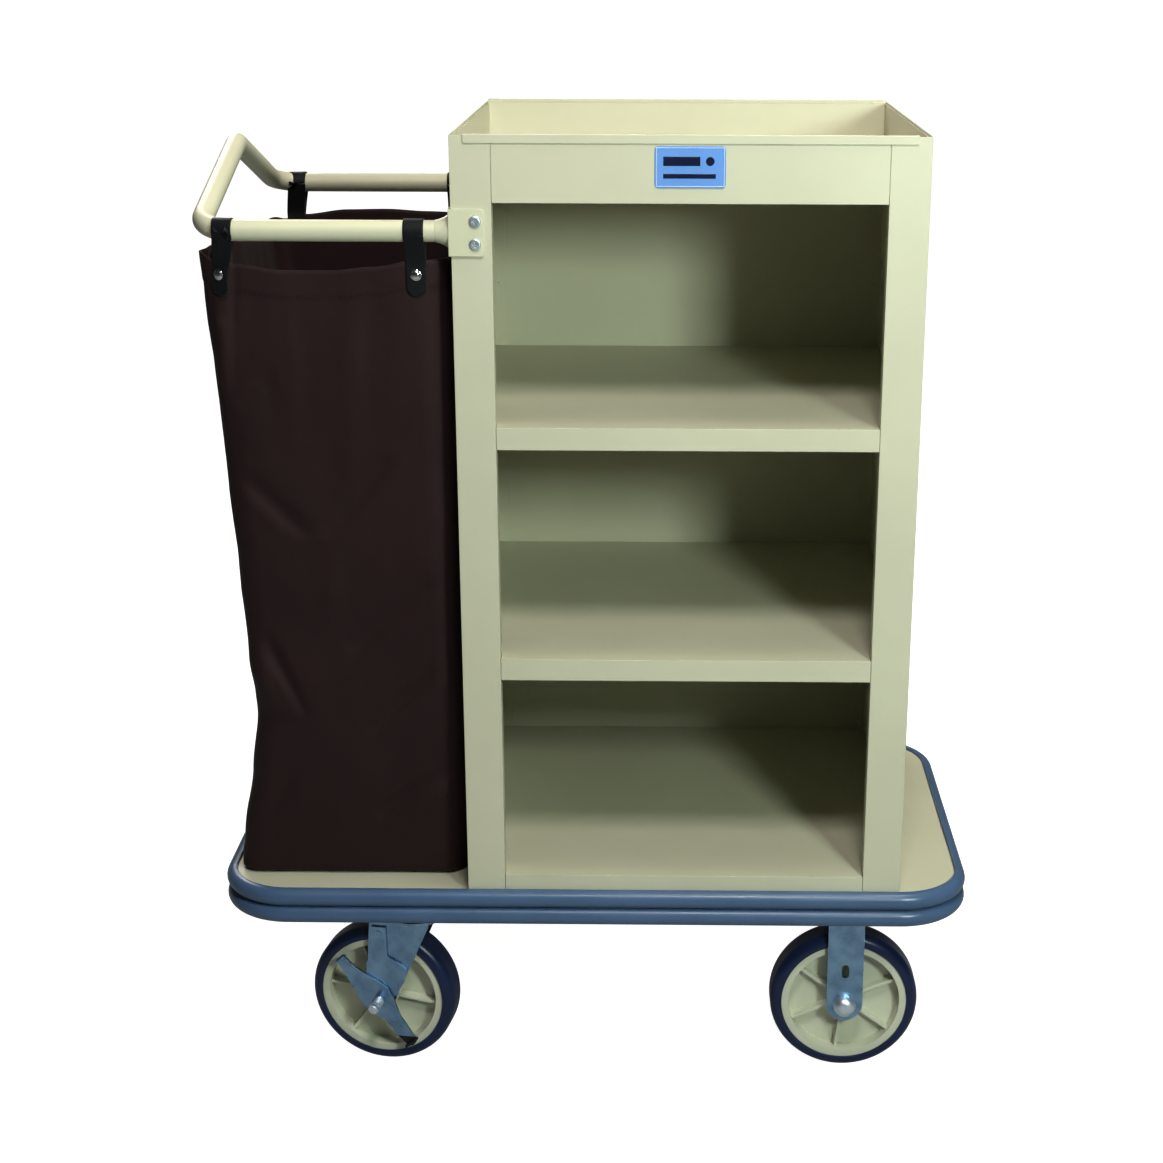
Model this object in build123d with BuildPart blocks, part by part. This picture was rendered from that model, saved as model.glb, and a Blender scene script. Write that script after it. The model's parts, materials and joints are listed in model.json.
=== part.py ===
from build123d import *
import math
import os

# Housekeeping cart: an open sheet-steel cabinet on a wheeled deck, with a top tray,
# a laundry bag hung from a bent tube handle, two rigid and two braked swivel casters.
# Frame: millimetres, +Z up, front at -Y, the handle end at -X, the floor at Z = 0,
# origin under the middle of the deck.

# ---------------------------------------------------------------- driving dimensions

# Deck and bumper; the deck holds the bag's bay, the cabinet and a free ledge, end to end
bag_bay = 330.0
cabinet_right_gap = 86.0
deck_margin = 0.5
deck_corner_radius = 83.0
deck_top = 288.0
deck_sheet = 1.9
deck_skirt = 44.0
deck_edge_radius = 2.5
bead_height = 25.0
bead_projection = 14.0
bead_round = 12.4
bumper_above_deck = 4.0

# Cabinet
cabinet_width = 584.0
cabinet_depth = 540.0
cabinet_top = 1294.0
sheet = 1.5
post_width = 50.0
post_return = 22.0
rear_flange = 22.0
base_flange = 52.0
seam = 0.5
panel_gap = 0.3

# Tray, apron and shelves
apron_height = 81.0
hem_height = 9.5
hem_inset = 17.0
apron_return = 14.0
tray_depth = 75.0
tray_wall_drop = 2.5
tray_bend = 4.0
upper_shelf_top = 933.0
lower_shelf_top = 623.0
floor_top = 313.0
shelf_lip = 29.0
shelf_flange = 20.0
shelf_return = 12.0
back_rise = 3.0

# Rivets, cabinet bolts and the nameplate
rivet_radius = 2.4
rivet_head_radius = 4.8
rivet_head_height = 1.4
rivet_tail = 0.2
rivet_clearance = 0.1
rivet_inset = 60.0
rivets_per_side = 3
back_rivet_rows = 5
bolt_radius = 4.0
bolt_hex = 13.0
bolt_head_height = 5.3
bolt_tail = 2.0
bolt_clearance = 0.4
cabinet_bolt_inset = 70.0
nameplate_size = (86.0, 50.0)
nameplate_thickness = 1.2
nameplate_corner = 5.0
nameplate_drop = 2.5

# Handle, its brackets and screws
tube_diameter = 26.7
tube_wall = 1.65
rail_height = 1177.0
rail_inset = 14.0
handle_reach = 313.0
handle_rise = 82.0
handle_corner_radius = 40.0
handle_apex_radius = 32.0
bracket_plate = (41.0, 57.5)
bracket_thickness = 3.0
bracket_corner = 5.0
bracket_side = 30.0
neck_length = 17.0
neck_flare = (16.2, 21.0)
neck_waist = 14.4
plug_length = 30.0
screw_inset = 30.0
screw_pitch = 27.6
screw_radius = 2.9
screw_head_radius = 7.3
screw_head_height = 3.4
screw_recess = (1.5, 7.0, 1.6)
nut_hex = 9.5
nut_height = 4.6

# Laundry bag and its straps
bag_wall = 2.0
bag_bottom_lift = 0.4
bag_rim = 1134.0
bag_waist_height = 535.0
bag_widths = (314.0, 282.0, 314.0)
bag_rail_insets = (3.0, 21.0, 32.0)
bag_cabinet_gap = 4.0
bag_corner = 34.0
strap_width = 25.4
strap_thickness = 1.8
strap_clearance = 2.4
strap_bag_gap = 1.5
strap_bend_rise = 6.0
strap_tip = 1096.0
strap_tail_step = 14.0
strap_positions = (-270.0, -46.0)
snap_radius = 6.2
snap_height = 3.2
snap_above_tip = 27.0

# Casters
wheel_radius = 103.0
tyre_width = 50.0
tyre_round = 13.0
hub_radius = 87.5
hub_width = 46.0
hub_rim = 10.0
hub_web = 6.0
hub_boss_radius = 22.0
hub_boss_width = 52.0
hub_ribs = 6
rib_width = 4.5
rib_depth = 30.0
rib_turn = {"left": -7.0, "right": 23.0}
axle_radius = 6.35
bushing_radius = 9.5
running_gap = 0.06
axle_fit = 0.05
fork_inside = 54.0
fork_plate = 4.8
caster_height = 241.3
caster_plate = (114.0, 102.0)
caster_plate_thickness = 5.0
caster_plate_corner = 8.0
caster_bolt_spacing = (92.0, 72.0)
caster_bolt_radius = 4.7
caster_bolt_hex = 14.2
caster_side_inset = 61.0
rigid_leg_width = 50.0
rigid_slot = (10.5, 20.0)
rigid_slot_rise = 51.0
rigid_caster_inset = 152.0
swivel_axis_inset = 249.0
caster_trail = 46.0
swivel_yaw = {"front": -10.0, "rear": 188.0}
race_gap = 9.0
race_radius = 28.0
race_balls = 16
race_skirt = (38.0, 41.0)
race_skirt_height = 7.0
kingpin_radius = 8.0
kingpin_head = (13.0, 8.0)
kingpin_play = 0.15
leg_top = (-58.0, 27.0)
leg_eye_radius = 20.0
leg_eye_flat = 0.3
dome_radius = 15.5
dome_height = 16.0
axle_head_hex = 19.0
axle_head_height = 8.0
channel_width = 118.0
channel_sheet = 3.0
channel_end_gap = 12.0

# Brake on each swivel caster
brake_sheet = 3.0
brake_strap_width = 21.0
brake_strap_x = 2.0
brake_strap_top = 112.0
brake_eye_radius = 17.0
lever_play = 0.3
stud_radius = 4.0
stud_nut_hex = 13.0
stud_nut_height = 6.5
spring_radius = 6.3
spring_wire = 1.3
spring_pitch = 4.0
spring_turns = 4
pedal_width = 17.0
pedal_reach = 14.0
pedal_tip = (46.5, -59.5)
pedal_turn = 34.0
tab_tip = (-54.0, 59.0)
tab_turn = 39.0
tab_reach = 8.0

# ---------------------------------------------------------------- derived places

deck_length = bag_bay + cabinet_width + cabinet_right_gap
deck_width = cabinet_depth + 2 * deck_margin
cabinet_right = deck_length / 2 - cabinet_right_gap
cabinet_left = cabinet_right - cabinet_width
cabinet_middle = (cabinet_left + cabinet_right) / 2
front = -cabinet_depth / 2
rear = cabinet_depth / 2
apron_bottom = cabinet_top - apron_height
tray_floor = cabinet_top - tray_depth
deck_bottom = deck_top - deck_skirt
bumper_top = deck_top + bumper_above_deck
tube_radius = tube_diameter / 2
rail_y = rear - rail_inset
handle_end = cabinet_left - handle_reach
bag_depths = [2 * (rail_y - inset) for inset in bag_rail_insets]
plate_bottom = caster_height - caster_plate_thickness
crown_top = plate_bottom - race_gap
caster_y = deck_width / 2 - caster_side_inset
rigid_caster_x = deck_length / 2 - rigid_caster_inset
swivel_axis_x = swivel_axis_inset - deck_length / 2
leg_inner = fork_inside / 2
leg_outer = leg_inner + fork_plate
strap_inner_radius = tube_radius + strap_clearance
strap_outer_radius = strap_inner_radius + strap_thickness
shelf_tops = (upper_shelf_top, lower_shelf_top, floor_top)
floor_lip = floor_top - deck_top

os.makedirs("parts", exist_ok=True)


def save(part, label):
    """Label a finished piece and write it under its own name."""
    part.label = label
    export_step(part, f"parts/{label}.step")


def slab(low, high):
    """Add the box between two opposite corners to the piece being built."""
    size = [top - bottom for bottom, top in zip(low, high)]
    with Locations(low):
        Box(*size, align=(Align.MIN, Align.MIN, Align.MIN))


def spread(count, length):
    """Evenly spaced places along a length, centred on zero."""
    step = length / (count - 1)
    return [step * index - length / 2 for index in range(count)]


# ---------------------------------------------------------------- deck and bumper

def make_deck():
    """Deck pan: a flat top with a skirt all round, drilled for the cabinet bolts."""
    with BuildPart() as deck:
        with BuildSketch(Plane.XY.offset(deck_bottom)):
            RectangleRounded(deck_length, deck_width, deck_corner_radius)
        extrude(amount=deck_skirt)
        fillet(deck.edges().group_by(Axis.Z)[-1], deck_edge_radius)
        with BuildSketch(Plane.XY.offset(deck_bottom)):
            inside = deck_corner_radius - deck_sheet
            RectangleRounded(deck_length - 2 * deck_sheet, deck_width - 2 * deck_sheet, inside)
        extrude(amount=deck_skirt - deck_sheet, mode=Mode.SUBTRACT)
        with BuildSketch(Plane.XY.offset(deck_bottom)):
            with Locations(*cabinet_bolt_places()):
                Circle(bolt_radius + bolt_clearance)
        extrude(amount=deck_skirt + seam, mode=Mode.SUBTRACT)
    save(deck.part, "deck")


def make_bumper():
    """Two stacked vinyl beads that run round the deck's edge."""
    outer = (deck_length + 2 * bead_projection, deck_width + 2 * bead_projection)
    with BuildPart() as bumper:
        with BuildSketch(Plane.XY.offset(bumper_top - bead_height)):
            RectangleRounded(*outer, deck_corner_radius + bead_projection)
        extrude(amount=bead_height)
        fillet(bumper.edges().filter_by(GeomType.LINE).filter_by(Axis.Z, reverse=True), bead_round)
        with BuildSketch(Plane.XY.offset(bumper_top - bead_height)):
            RectangleRounded(deck_length, deck_width, deck_corner_radius)
        extrude(amount=bead_height, mode=Mode.SUBTRACT)
        mirror(about=Plane.XY.offset(bumper_top - bead_height))
    save(bumper.part, "bumper")


def make_channel(label, middle):
    """Steel channel across the underside of the deck that the caster plates bolt to."""
    half = channel_width / 2
    end = deck_width / 2 - deck_sheet - channel_end_gap
    top = deck_top - deck_sheet
    holes = [(x, y + side * caster_y) for side in (-1, 1) for x, y in caster_bolt_places()]
    with BuildPart() as channel:
        slab((middle - half, -end, caster_height), (middle + half, end, top))
        with Locations((middle, 0, (caster_height + channel_sheet + top) / 2)):
            inside = top - caster_height - channel_sheet
            Box(channel_width - 2 * channel_sheet, 2 * end, inside, mode=Mode.SUBTRACT)
        with BuildSketch(Plane.XY.offset(caster_height)):
            with Locations(*[(middle + x, y) for x, y in holes]):
                Circle(caster_bolt_radius + bolt_clearance)
        extrude(amount=channel_sheet, mode=Mode.SUBTRACT)
    save(channel.part, label)


# ---------------------------------------------------------------- cabinet

def cabinet_bolt_places():
    """Deck bolts through the base flanges of both side panels."""
    rows = spread(rivets_per_side, cabinet_depth - 2 * cabinet_bolt_inset)
    columns = (cabinet_left + base_flange / 2, cabinet_right - base_flange / 2)
    return [(x, y) for x in columns for y in rows]


def rivet_rows():
    """Heights of the rivets that hold each shelf's flanges."""
    return [top - shelf_flange / 2 for top in (upper_shelf_top, lower_shelf_top)]


def rivet_columns():
    """Places of the shelf rivets along the cabinet's depth."""
    return spread(rivets_per_side, cabinet_depth - 2 * rivet_inset)


def make_side_panel(label, wall, inward):
    """One bent side: outer wall, front post with its return, rear and base flanges."""
    def across(near, far):
        return sorted((wall + inward * near, wall + inward * far))

    def strip(near, far, start, end, low, high):
        left, right = across(near, far)
        slab((left, start, low), (right, end, high))

    with BuildPart() as panel:
        strip(0, sheet, front, rear, deck_top, cabinet_top)
        strip(0, post_width, front, front + sheet, deck_top, cabinet_top)
        strip(post_width - sheet, post_width, front, front + post_return, deck_top, apron_bottom)
        strip(0, rear_flange, rear - sheet, rear, deck_top, cabinet_top)
        strip(0, base_flange, front + post_return + seam, rear, deck_top, deck_top + sheet)
        with BuildSketch(Plane.YZ.offset(wall)):
            with Locations(*[(y, z) for y in rivet_columns() for z in rivet_rows()]):
                Circle(rivet_radius + rivet_clearance)
        extrude(amount=inward * sheet, mode=Mode.SUBTRACT)
        with BuildSketch(Plane.XY.offset(deck_top)):
            with Locations(*cabinet_bolt_places()):
                Circle(bolt_radius + bolt_clearance)
        extrude(amount=sheet, mode=Mode.SUBTRACT)
        if inward > 0:
            with BuildSketch(Plane.XZ.offset(-rear - seam)):
                with Locations(*bracket_screw_places()):
                    Circle(screw_radius + rivet_clearance)
            extrude(amount=cabinet_depth + 2 * seam, mode=Mode.SUBTRACT)
        with BuildSketch(Plane.XZ.offset(-rear)):
            with Locations(*[place for place in back_rivet_places() if abs(place[0] - wall) < post_width]):
                Circle(rivet_radius + rivet_clearance)
        extrude(amount=sheet, mode=Mode.SUBTRACT)
    save(panel.part, label)


def back_rivet_places():
    """Rivets along both upright edges of the back panel."""
    columns = (cabinet_left + rear_flange / 2, cabinet_right - rear_flange / 2)
    height = cabinet_top - deck_top
    middle = (cabinet_top + deck_top) / 2
    return [(x, middle + z) for x in columns for z in spread(back_rivet_rows, height - rivet_inset)]


def make_back_panel():
    """Flat sheet riveted behind the side panels' rear flanges."""
    with BuildPart() as panel:
        slab((cabinet_left + sheet, rear, bumper_top + seam),
             (cabinet_right - sheet, rear + sheet, cabinet_top + back_rise))
        with BuildSketch(Plane.XZ.offset(-rear - sheet)):
            with Locations(*back_rivet_places()):
                Circle(rivet_radius + rivet_clearance)
            with Locations(*bracket_screw_places()):
                Circle(screw_radius + rivet_clearance)
        extrude(amount=sheet, mode=Mode.SUBTRACT)
    save(panel.part, "back_panel")


def make_front_apron():
    """Fascia between the posts with a folded hem along the rim and a lower return."""
    left = cabinet_left + post_width + seam
    right = cabinet_right - post_width - seam
    with BuildPart() as apron:
        slab((left, front, apron_bottom), (right, front + sheet, cabinet_top))
        slab((left, front, apron_bottom), (right, front + apron_return, apron_bottom + sheet))
        slab((cabinet_left + hem_inset, front - sheet, cabinet_top - hem_height),
             (cabinet_right - hem_inset, front, cabinet_top + sheet))
        slab((cabinet_left + hem_inset, front - sheet, cabinet_top),
             (cabinet_right - hem_inset, front + sheet, cabinet_top + sheet))
        hem_edges = apron.edges().filter_by(Axis.X).sort_by(Axis.Y)[:2]
        fillet(hem_edges.sort_by(Axis.Z)[-1], sheet / 2)
    save(apron.part, "front_apron")


def make_top_tray():
    """Open pan between the side panels, its floor level with the apron's foot."""
    wall_x = sheet + panel_gap
    low_y = front + sheet + panel_gap
    high_y = rear - sheet - panel_gap
    width = cabinet_width - 2 * wall_x
    depth = high_y - low_y
    wall_top = cabinet_top - tray_wall_drop
    middle = (cabinet_middle, (low_y + high_y) / 2)
    with BuildPart() as tray:
        with BuildSketch(Plane.XY.offset(tray_floor - sheet)):
            with Locations(middle):
                Rectangle(width, depth)
        extrude(amount=wall_top - tray_floor + sheet)
        fillet(tray.edges().group_by(Axis.Z)[0], tray_bend + sheet)
        with BuildPart(mode=Mode.PRIVATE) as hollow:
            with BuildSketch(Plane.XY.offset(tray_floor)):
                with Locations(middle):
                    Rectangle(width - 2 * sheet, depth - 2 * sheet)
            extrude(amount=wall_top - tray_floor + seam)
            fillet(hollow.edges().group_by(Axis.Z)[0], tray_bend)
        add(hollow.part, mode=Mode.SUBTRACT)
    save(tray.part, "top_tray")


def make_shelf(label, top, lip):
    """Shelf pan: a lip between the posts, and flanges down the sides and the back."""
    inner_left = cabinet_left + sheet + panel_gap
    inner_right = cabinet_right - sheet - panel_gap
    lip_left = cabinet_left + post_width + seam
    lip_right = cabinet_right - post_width - seam
    back = rear - sheet - panel_gap
    behind_posts = front + post_return + seam
    drop = min(shelf_flange, lip)
    riveted = lip > floor_lip
    with BuildPart() as shelf:
        slab((inner_left, behind_posts, top - sheet), (inner_right, back, top))
        slab((lip_left, front, top - sheet), (lip_right, behind_posts, top))
        slab((lip_left, front, top - lip), (lip_right, front + sheet, top))
        slab((lip_left, front, top - lip), (lip_right, front + shelf_return, top - lip + sheet))
        if riveted:
            slab((inner_left, behind_posts, top - drop), (inner_left + sheet, back, top))
            slab((inner_right - sheet, behind_posts, top - drop), (inner_right, back, top))
            with BuildSketch(Plane.YZ.offset(inner_left)):
                with Locations(*[(y, top - shelf_flange / 2) for y in rivet_columns()]):
                    Circle(rivet_radius + rivet_clearance)
            extrude(amount=inner_right - inner_left, mode=Mode.SUBTRACT)
        slab((inner_left, back - sheet, top - drop), (inner_right, back, top))
    save(shelf.part, label)


def make_shelf_rivets():
    """Blind rivets through the side panels into the shelves' side flanges."""
    grip = 2 * sheet + panel_gap
    with BuildPart() as rivets:
        for wall, inward in ((cabinet_left, 1), (cabinet_right, -1)):
            for y in rivet_columns():
                for z in rivet_rows():
                    with BuildSketch(Plane.YZ.offset(wall)):
                        with Locations((y, z)):
                            Circle(rivet_head_radius)
                    extrude(amount=-inward * rivet_head_height)
                    with BuildSketch(Plane.YZ.offset(wall)):
                        with Locations((y, z)):
                            Circle(rivet_radius)
                    extrude(amount=inward * (grip + rivet_head_height))
    save(rivets.part, "shelf_rivets")


def make_back_rivets():
    """Blind rivets through the back panel into the rear flanges."""
    with BuildPart() as rivets:
        with BuildSketch(Plane.XZ.offset(-rear - sheet)):
            with Locations(*back_rivet_places()):
                Circle(rivet_head_radius)
        extrude(amount=-rivet_head_height)
        with BuildSketch(Plane.XZ.offset(-rear - sheet)):
            with Locations(*back_rivet_places()):
                Circle(rivet_radius)
        extrude(amount=2 * sheet + rivet_tail)
    save(rivets.part, "back_rivets")


def make_bolt_sets():
    """Hexagon bolts and nuts that hold the cabinet's base flanges to the deck."""
    across = bolt_hex / math.sqrt(3)
    under = deck_top - deck_sheet
    with BuildPart() as bolts:
        with BuildSketch(Plane.XY.offset(deck_top + sheet)):
            with Locations(*cabinet_bolt_places()):
                RegularPolygon(across, 6)
        extrude(amount=bolt_head_height)
        with BuildSketch(Plane.XY.offset(deck_top + sheet)):
            with Locations(*cabinet_bolt_places()):
                Circle(bolt_radius)
        extrude(amount=-(sheet + deck_sheet + bolt_head_height + bolt_tail))
    save(bolts.part, "cabinet_bolts")
    with BuildPart() as nuts:
        with BuildSketch(Plane.XY.offset(under)):
            with Locations(*cabinet_bolt_places()):
                RegularPolygon(across, 6)
                Circle(bolt_radius, mode=Mode.SUBTRACT)
        extrude(amount=-bolt_head_height)
    save(nuts.part, "cabinet_nuts")


def make_nameplate():
    """Blank plate under the hem, in the middle of the apron."""
    width, height = nameplate_size
    top = cabinet_top - hem_height - nameplate_drop
    with BuildPart() as plate:
        with BuildSketch(Plane.XZ.offset(-front)):
            with Locations((cabinet_middle, top - height / 2)):
                RectangleRounded(width, height, nameplate_corner)
        extrude(amount=nameplate_thickness)
    save(plate.part, "nameplate")


# ---------------------------------------------------------------- handle

def make_handle_tube():
    """One bent tube: two level rails joined by an end bar that rises to a peak."""
    start = cabinet_left - bracket_thickness - neck_length
    corner = (handle_end, rail_y, rail_height)
    peak = (handle_end, 0, rail_height + handle_rise)
    points = [(start, -rail_y, rail_height), (handle_end, -rail_y, rail_height), peak,
              corner, (start, rail_y, rail_height)]
    radii = [handle_corner_radius, handle_apex_radius, handle_corner_radius]
    with BuildPart() as tube:
        with BuildLine() as path:
            FilletPolyline(*points, radius=radii)
        with BuildSketch(Plane(origin=points[0], z_dir=(-1, 0, 0))):
            Circle(tube_radius)
            Circle(tube_radius - tube_wall, mode=Mode.SUBTRACT)
        sweep(path=path.wires()[0])
    save(tube.part, "handle_tube")


def make_bracket(label, side):
    """Angle bracket on a post's corner with the flared neck that carries the tube."""
    width, height = bracket_plate
    face = bracket_face(side)
    outer = face + side * bracket_thickness
    middle_y = side * rail_y
    wall = cabinet_left - bracket_thickness
    low = rail_height - height / 2
    depths = sorted((outer, face))
    wrap = sorted((outer, face - side * bracket_side))
    flare_y, flare_z = neck_flare
    with BuildPart() as bracket:
        slab((wall, depths[0], low), (wall + width + bracket_thickness, depths[1], low + height))
        far_edges = bracket.edges().filter_by(Axis.Y).sort_by(Axis.X)[-2:]
        fillet(far_edges, bracket_corner)
        slab((wall, wrap[0], low), (cabinet_left, wrap[1], low + height))
        sections = ((0, flare_y, flare_z), (neck_length / 2, neck_waist, neck_waist + sheet),
                    (neck_length, tube_radius, tube_radius))
        for along, radius_y, radius_z in sections:
            spot = Plane(origin=(wall - along, middle_y, rail_height), x_dir=(0, 1, 0), z_dir=(-1, 0, 0))
            with BuildSketch(spot):
                Ellipse(radius_y, radius_z + seam)
        loft()
        with BuildSketch(Plane(origin=(wall, middle_y, rail_height), z_dir=(-1, 0, 0))):
            Circle(tube_radius - tube_wall - rivet_clearance)
        extrude(amount=neck_length + plug_length)
        with BuildSketch(Plane.XZ.offset(-outer)):
            with Locations(*bracket_screw_places()):
                Circle(screw_radius + rivet_clearance)
        extrude(amount=side * (bracket_thickness + seam), mode=Mode.SUBTRACT)
    save(bracket.part, label)


def bracket_face(side):
    """The face a bracket's plate lies on: the post in front, the back panel behind."""
    return -rear if side < 0 else rear + sheet


def bracket_screw_places():
    """The two screws of a bracket, one above the other."""
    return [(cabinet_left + screw_inset, rail_height + side * screw_pitch / 2) for side in (-1, 1)]


def make_handle_fixings():
    """Cross-recess pan screws through both brackets, and their nuts inside the posts."""
    slot_width, slot_length, slot_depth = screw_recess
    with BuildPart() as screws:
        for side in (-1, 1):
            face = bracket_face(side) + side * bracket_thickness
            shank = side * face - rear + sheet + nut_height + seam
            out = Plane.XZ.offset(-face)
            with BuildSketch(out):
                with Locations(*bracket_screw_places()):
                    Circle(screw_head_radius)
            extrude(amount=-side * screw_head_height)
            with BuildSketch(out.offset(-side * screw_head_height)):
                with Locations(*bracket_screw_places()):
                    Rectangle(slot_width, slot_length)
                    Rectangle(slot_length, slot_width)
            extrude(amount=side * slot_depth, mode=Mode.SUBTRACT)
            with BuildSketch(out):
                with Locations(*bracket_screw_places()):
                    Circle(screw_radius)
            extrude(amount=side * shank)
        tops = screws.edges().filter_by(GeomType.CIRCLE).group_by(SortBy.RADIUS)[-1]
        rims = [tops.group_by(Axis.Y)[0], tops.group_by(Axis.Y)[-1]]
        fillet(rims[0] + rims[1], screw_head_height * 2 / 3)
    save(screws.part, "handle_screws")
    with BuildPart() as nuts:
        for side in (-1, 1):
            inside = side * (rear - sheet)
            with BuildSketch(Plane.XZ.offset(-inside)):
                with Locations(*bracket_screw_places()):
                    RegularPolygon(nut_hex / math.sqrt(3), 6)
                    Circle(screw_radius, mode=Mode.SUBTRACT)
            extrude(amount=side * nut_height)
    save(nuts.part, "handle_nuts")


# ---------------------------------------------------------------- laundry bag

def bag_sections(wall):
    """Rim, waist and base of the bag, drawn in by the wall: height, middle, width, depth."""
    heights = (bag_rim, bag_waist_height, deck_top + bag_bottom_lift)
    right = cabinet_left - bag_cabinet_gap
    return [(height, right - width / 2, width - 2 * wall, depth - 2 * wall)
            for height, width, depth in zip(heights, bag_widths, bag_depths)]


def make_bag():
    """Open laundry bag: a soft shell, waisted between its rim and its base."""
    with BuildPart() as bag:
        for height, middle, width, depth in bag_sections(0):
            with BuildSketch(Plane.XY.offset(height)):
                with Locations((middle, 0)):
                    RectangleRounded(width, depth, bag_corner)
        loft()
        with BuildPart(mode=Mode.PRIVATE) as hollow:
            for height, middle, width, depth in bag_sections(bag_wall):
                lift = bag_wall if height < bag_waist_height else 0
                with BuildSketch(Plane.XY.offset(height + lift)):
                    with Locations((middle, 0)):
                        RectangleRounded(width, depth, bag_corner - bag_wall)
            loft()
        add(hollow.part, mode=Mode.SUBTRACT)
    save(bag.part, "laundry_bag")


def strap_tail_place(face):
    """Distance from the cart's middle to a tail: 1 is the bag's outer face, -1 its inner face."""
    wall_middle = (bag_depths[0] - bag_wall) / 2
    return wall_middle + face * (bag_wall / 2 + strap_bag_gap + strap_thickness / 2)


def make_strap(label, along, side):
    """Webbing strap folded over a rail, with a tail down each face of the bag's wall."""
    middle = cabinet_left + along
    y = side * rail_y
    bend = bag_rim + strap_bend_rise
    half = strap_thickness / 2
    with BuildPart() as strap:
        with BuildSketch(Plane.YZ.offset(middle - strap_width / 2)):
            with Locations((y, rail_height)):
                Circle(strap_outer_radius)
                Circle(strap_inner_radius, mode=Mode.SUBTRACT)
            with Locations((y, rail_height - strap_outer_radius)):
                Rectangle(2 * strap_outer_radius, 2 * strap_outer_radius, mode=Mode.SUBTRACT)
            for edge in (-1, 1):
                foot = strap_tip if edge == side else strap_tip + strap_tail_step
                top = y + edge * (strap_inner_radius + half)
                low = side * strap_tail_place(edge * side)
                with BuildLine():
                    Polyline((top - half, rail_height), (top + half, rail_height), (low + half, bend),
                             (low + half, foot), (low - half, foot), (low - half, bend), close=True)
                make_face()
        extrude(amount=strap_width)
    save(strap.part, label)


def make_snaps():
    """Domed snap caps on the straps' outer tails."""
    with BuildPart() as snaps:
        for side in (-1, 1):
            face = side * (strap_tail_place(1) + strap_thickness / 2)
            places = [(cabinet_left + along, strap_tip + snap_above_tip) for along in strap_positions]
            with BuildSketch(Plane.XZ.offset(-face)):
                with Locations(*places):
                    Circle(snap_radius)
            extrude(amount=-side * snap_height)
        caps = snaps.edges().filter_by(GeomType.CIRCLE)
        fillet(caps.group_by(Axis.Y)[0] + caps.group_by(Axis.Y)[-1], snap_height * 2 / 3)
    save(snaps.part, "strap_snaps")


# ---------------------------------------------------------------- wheels

def wheel_hub(turn):
    """Moulded hub on its own axis: rim, web, boss and radial ribs."""
    bore = bushing_radius + running_gap
    inner_rim = hub_radius - hub_rim
    with BuildPart() as hub:
        with BuildSketch(Plane.XZ):
            Circle(hub_radius)
            Circle(inner_rim, mode=Mode.SUBTRACT)
        extrude(amount=hub_width / 2, both=True)
        with BuildSketch(Plane.XZ):
            Circle(inner_rim)
        extrude(amount=hub_web / 2, both=True)
        with BuildSketch(Plane.XZ):
            with PolarLocations((hub_boss_radius + inner_rim) / 2, hub_ribs, start_angle=turn):
                Rectangle(inner_rim - hub_boss_radius + rib_width, rib_width)
        extrude(amount=rib_depth / 2, both=True)
        with BuildSketch(Plane.XZ):
            Circle(hub_boss_radius)
        extrude(amount=hub_boss_width / 2, both=True)
        with BuildSketch(Plane.XZ):
            Circle(bore)
        extrude(amount=hub_boss_width / 2, both=True, mode=Mode.SUBTRACT)
        rims = hub.edges().filter_by(GeomType.CIRCLE)
        chamfer(rims.group_by(Axis.Y)[0] + rims.group_by(Axis.Y)[-1], seam)
    return hub.part


def wheel_tyre():
    """Rubber tyre on its own axis, with rounded shoulders."""
    with BuildPart() as tyre:
        with BuildSketch(Plane.XZ):
            Circle(wheel_radius)
        extrude(amount=tyre_width / 2, both=True)
        fillet(tyre.edges().filter_by(GeomType.CIRCLE), tyre_round)
        with BuildSketch(Plane.XZ):
            Circle(hub_radius)
        extrude(amount=tyre_width / 2, both=True, mode=Mode.SUBTRACT)
    return tyre.part


def bushing():
    """Steel sleeve that the forks clamp and the hub turns on."""
    with BuildPart() as sleeve:
        with BuildSketch(Plane.XZ):
            Circle(bushing_radius)
            Circle(axle_radius + axle_fit, mode=Mode.SUBTRACT)
        extrude(amount=fork_inside / 2, both=True)
    return sleeve.part


# ---------------------------------------------------------------- casters

def caster_bolt_places():
    """The four bolts of a caster's plate, about its middle."""
    half_x, half_y = (spacing / 2 for spacing in caster_bolt_spacing)
    return [(x, y) for x in (-half_x, half_x) for y in (-half_y, half_y)]


def caster_places():
    """Middles of all four caster plates."""
    return [(x, side * caster_y) for x in (swivel_axis_x, rigid_caster_x) for side in (-1, 1)]


def caster_fixings():
    """Bolts under the caster plates and their nuts inside the channels."""
    across = caster_bolt_hex / math.sqrt(3)
    spots = [(x + dx, y + dy) for x, y in caster_places() for dx, dy in caster_bolt_places()]
    inside = caster_height + channel_sheet
    with BuildPart() as bolts:
        with BuildSketch(Plane.XY.offset(plate_bottom)):
            with Locations(*spots):
                RegularPolygon(across, 6)
        extrude(amount=-bolt_head_height)
        with BuildSketch(Plane.XY.offset(plate_bottom)):
            with Locations(*spots):
                Circle(caster_bolt_radius)
        extrude(amount=inside - plate_bottom + bolt_head_height + bolt_tail)
    save(bolts.part, "caster_bolts")
    with BuildPart() as nuts:
        with BuildSketch(Plane.XY.offset(inside)):
            with Locations(*spots):
                RegularPolygon(across, 6)
                Circle(caster_bolt_radius, mode=Mode.SUBTRACT)
        extrude(amount=bolt_head_height)
    save(nuts.part, "caster_nuts")


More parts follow.
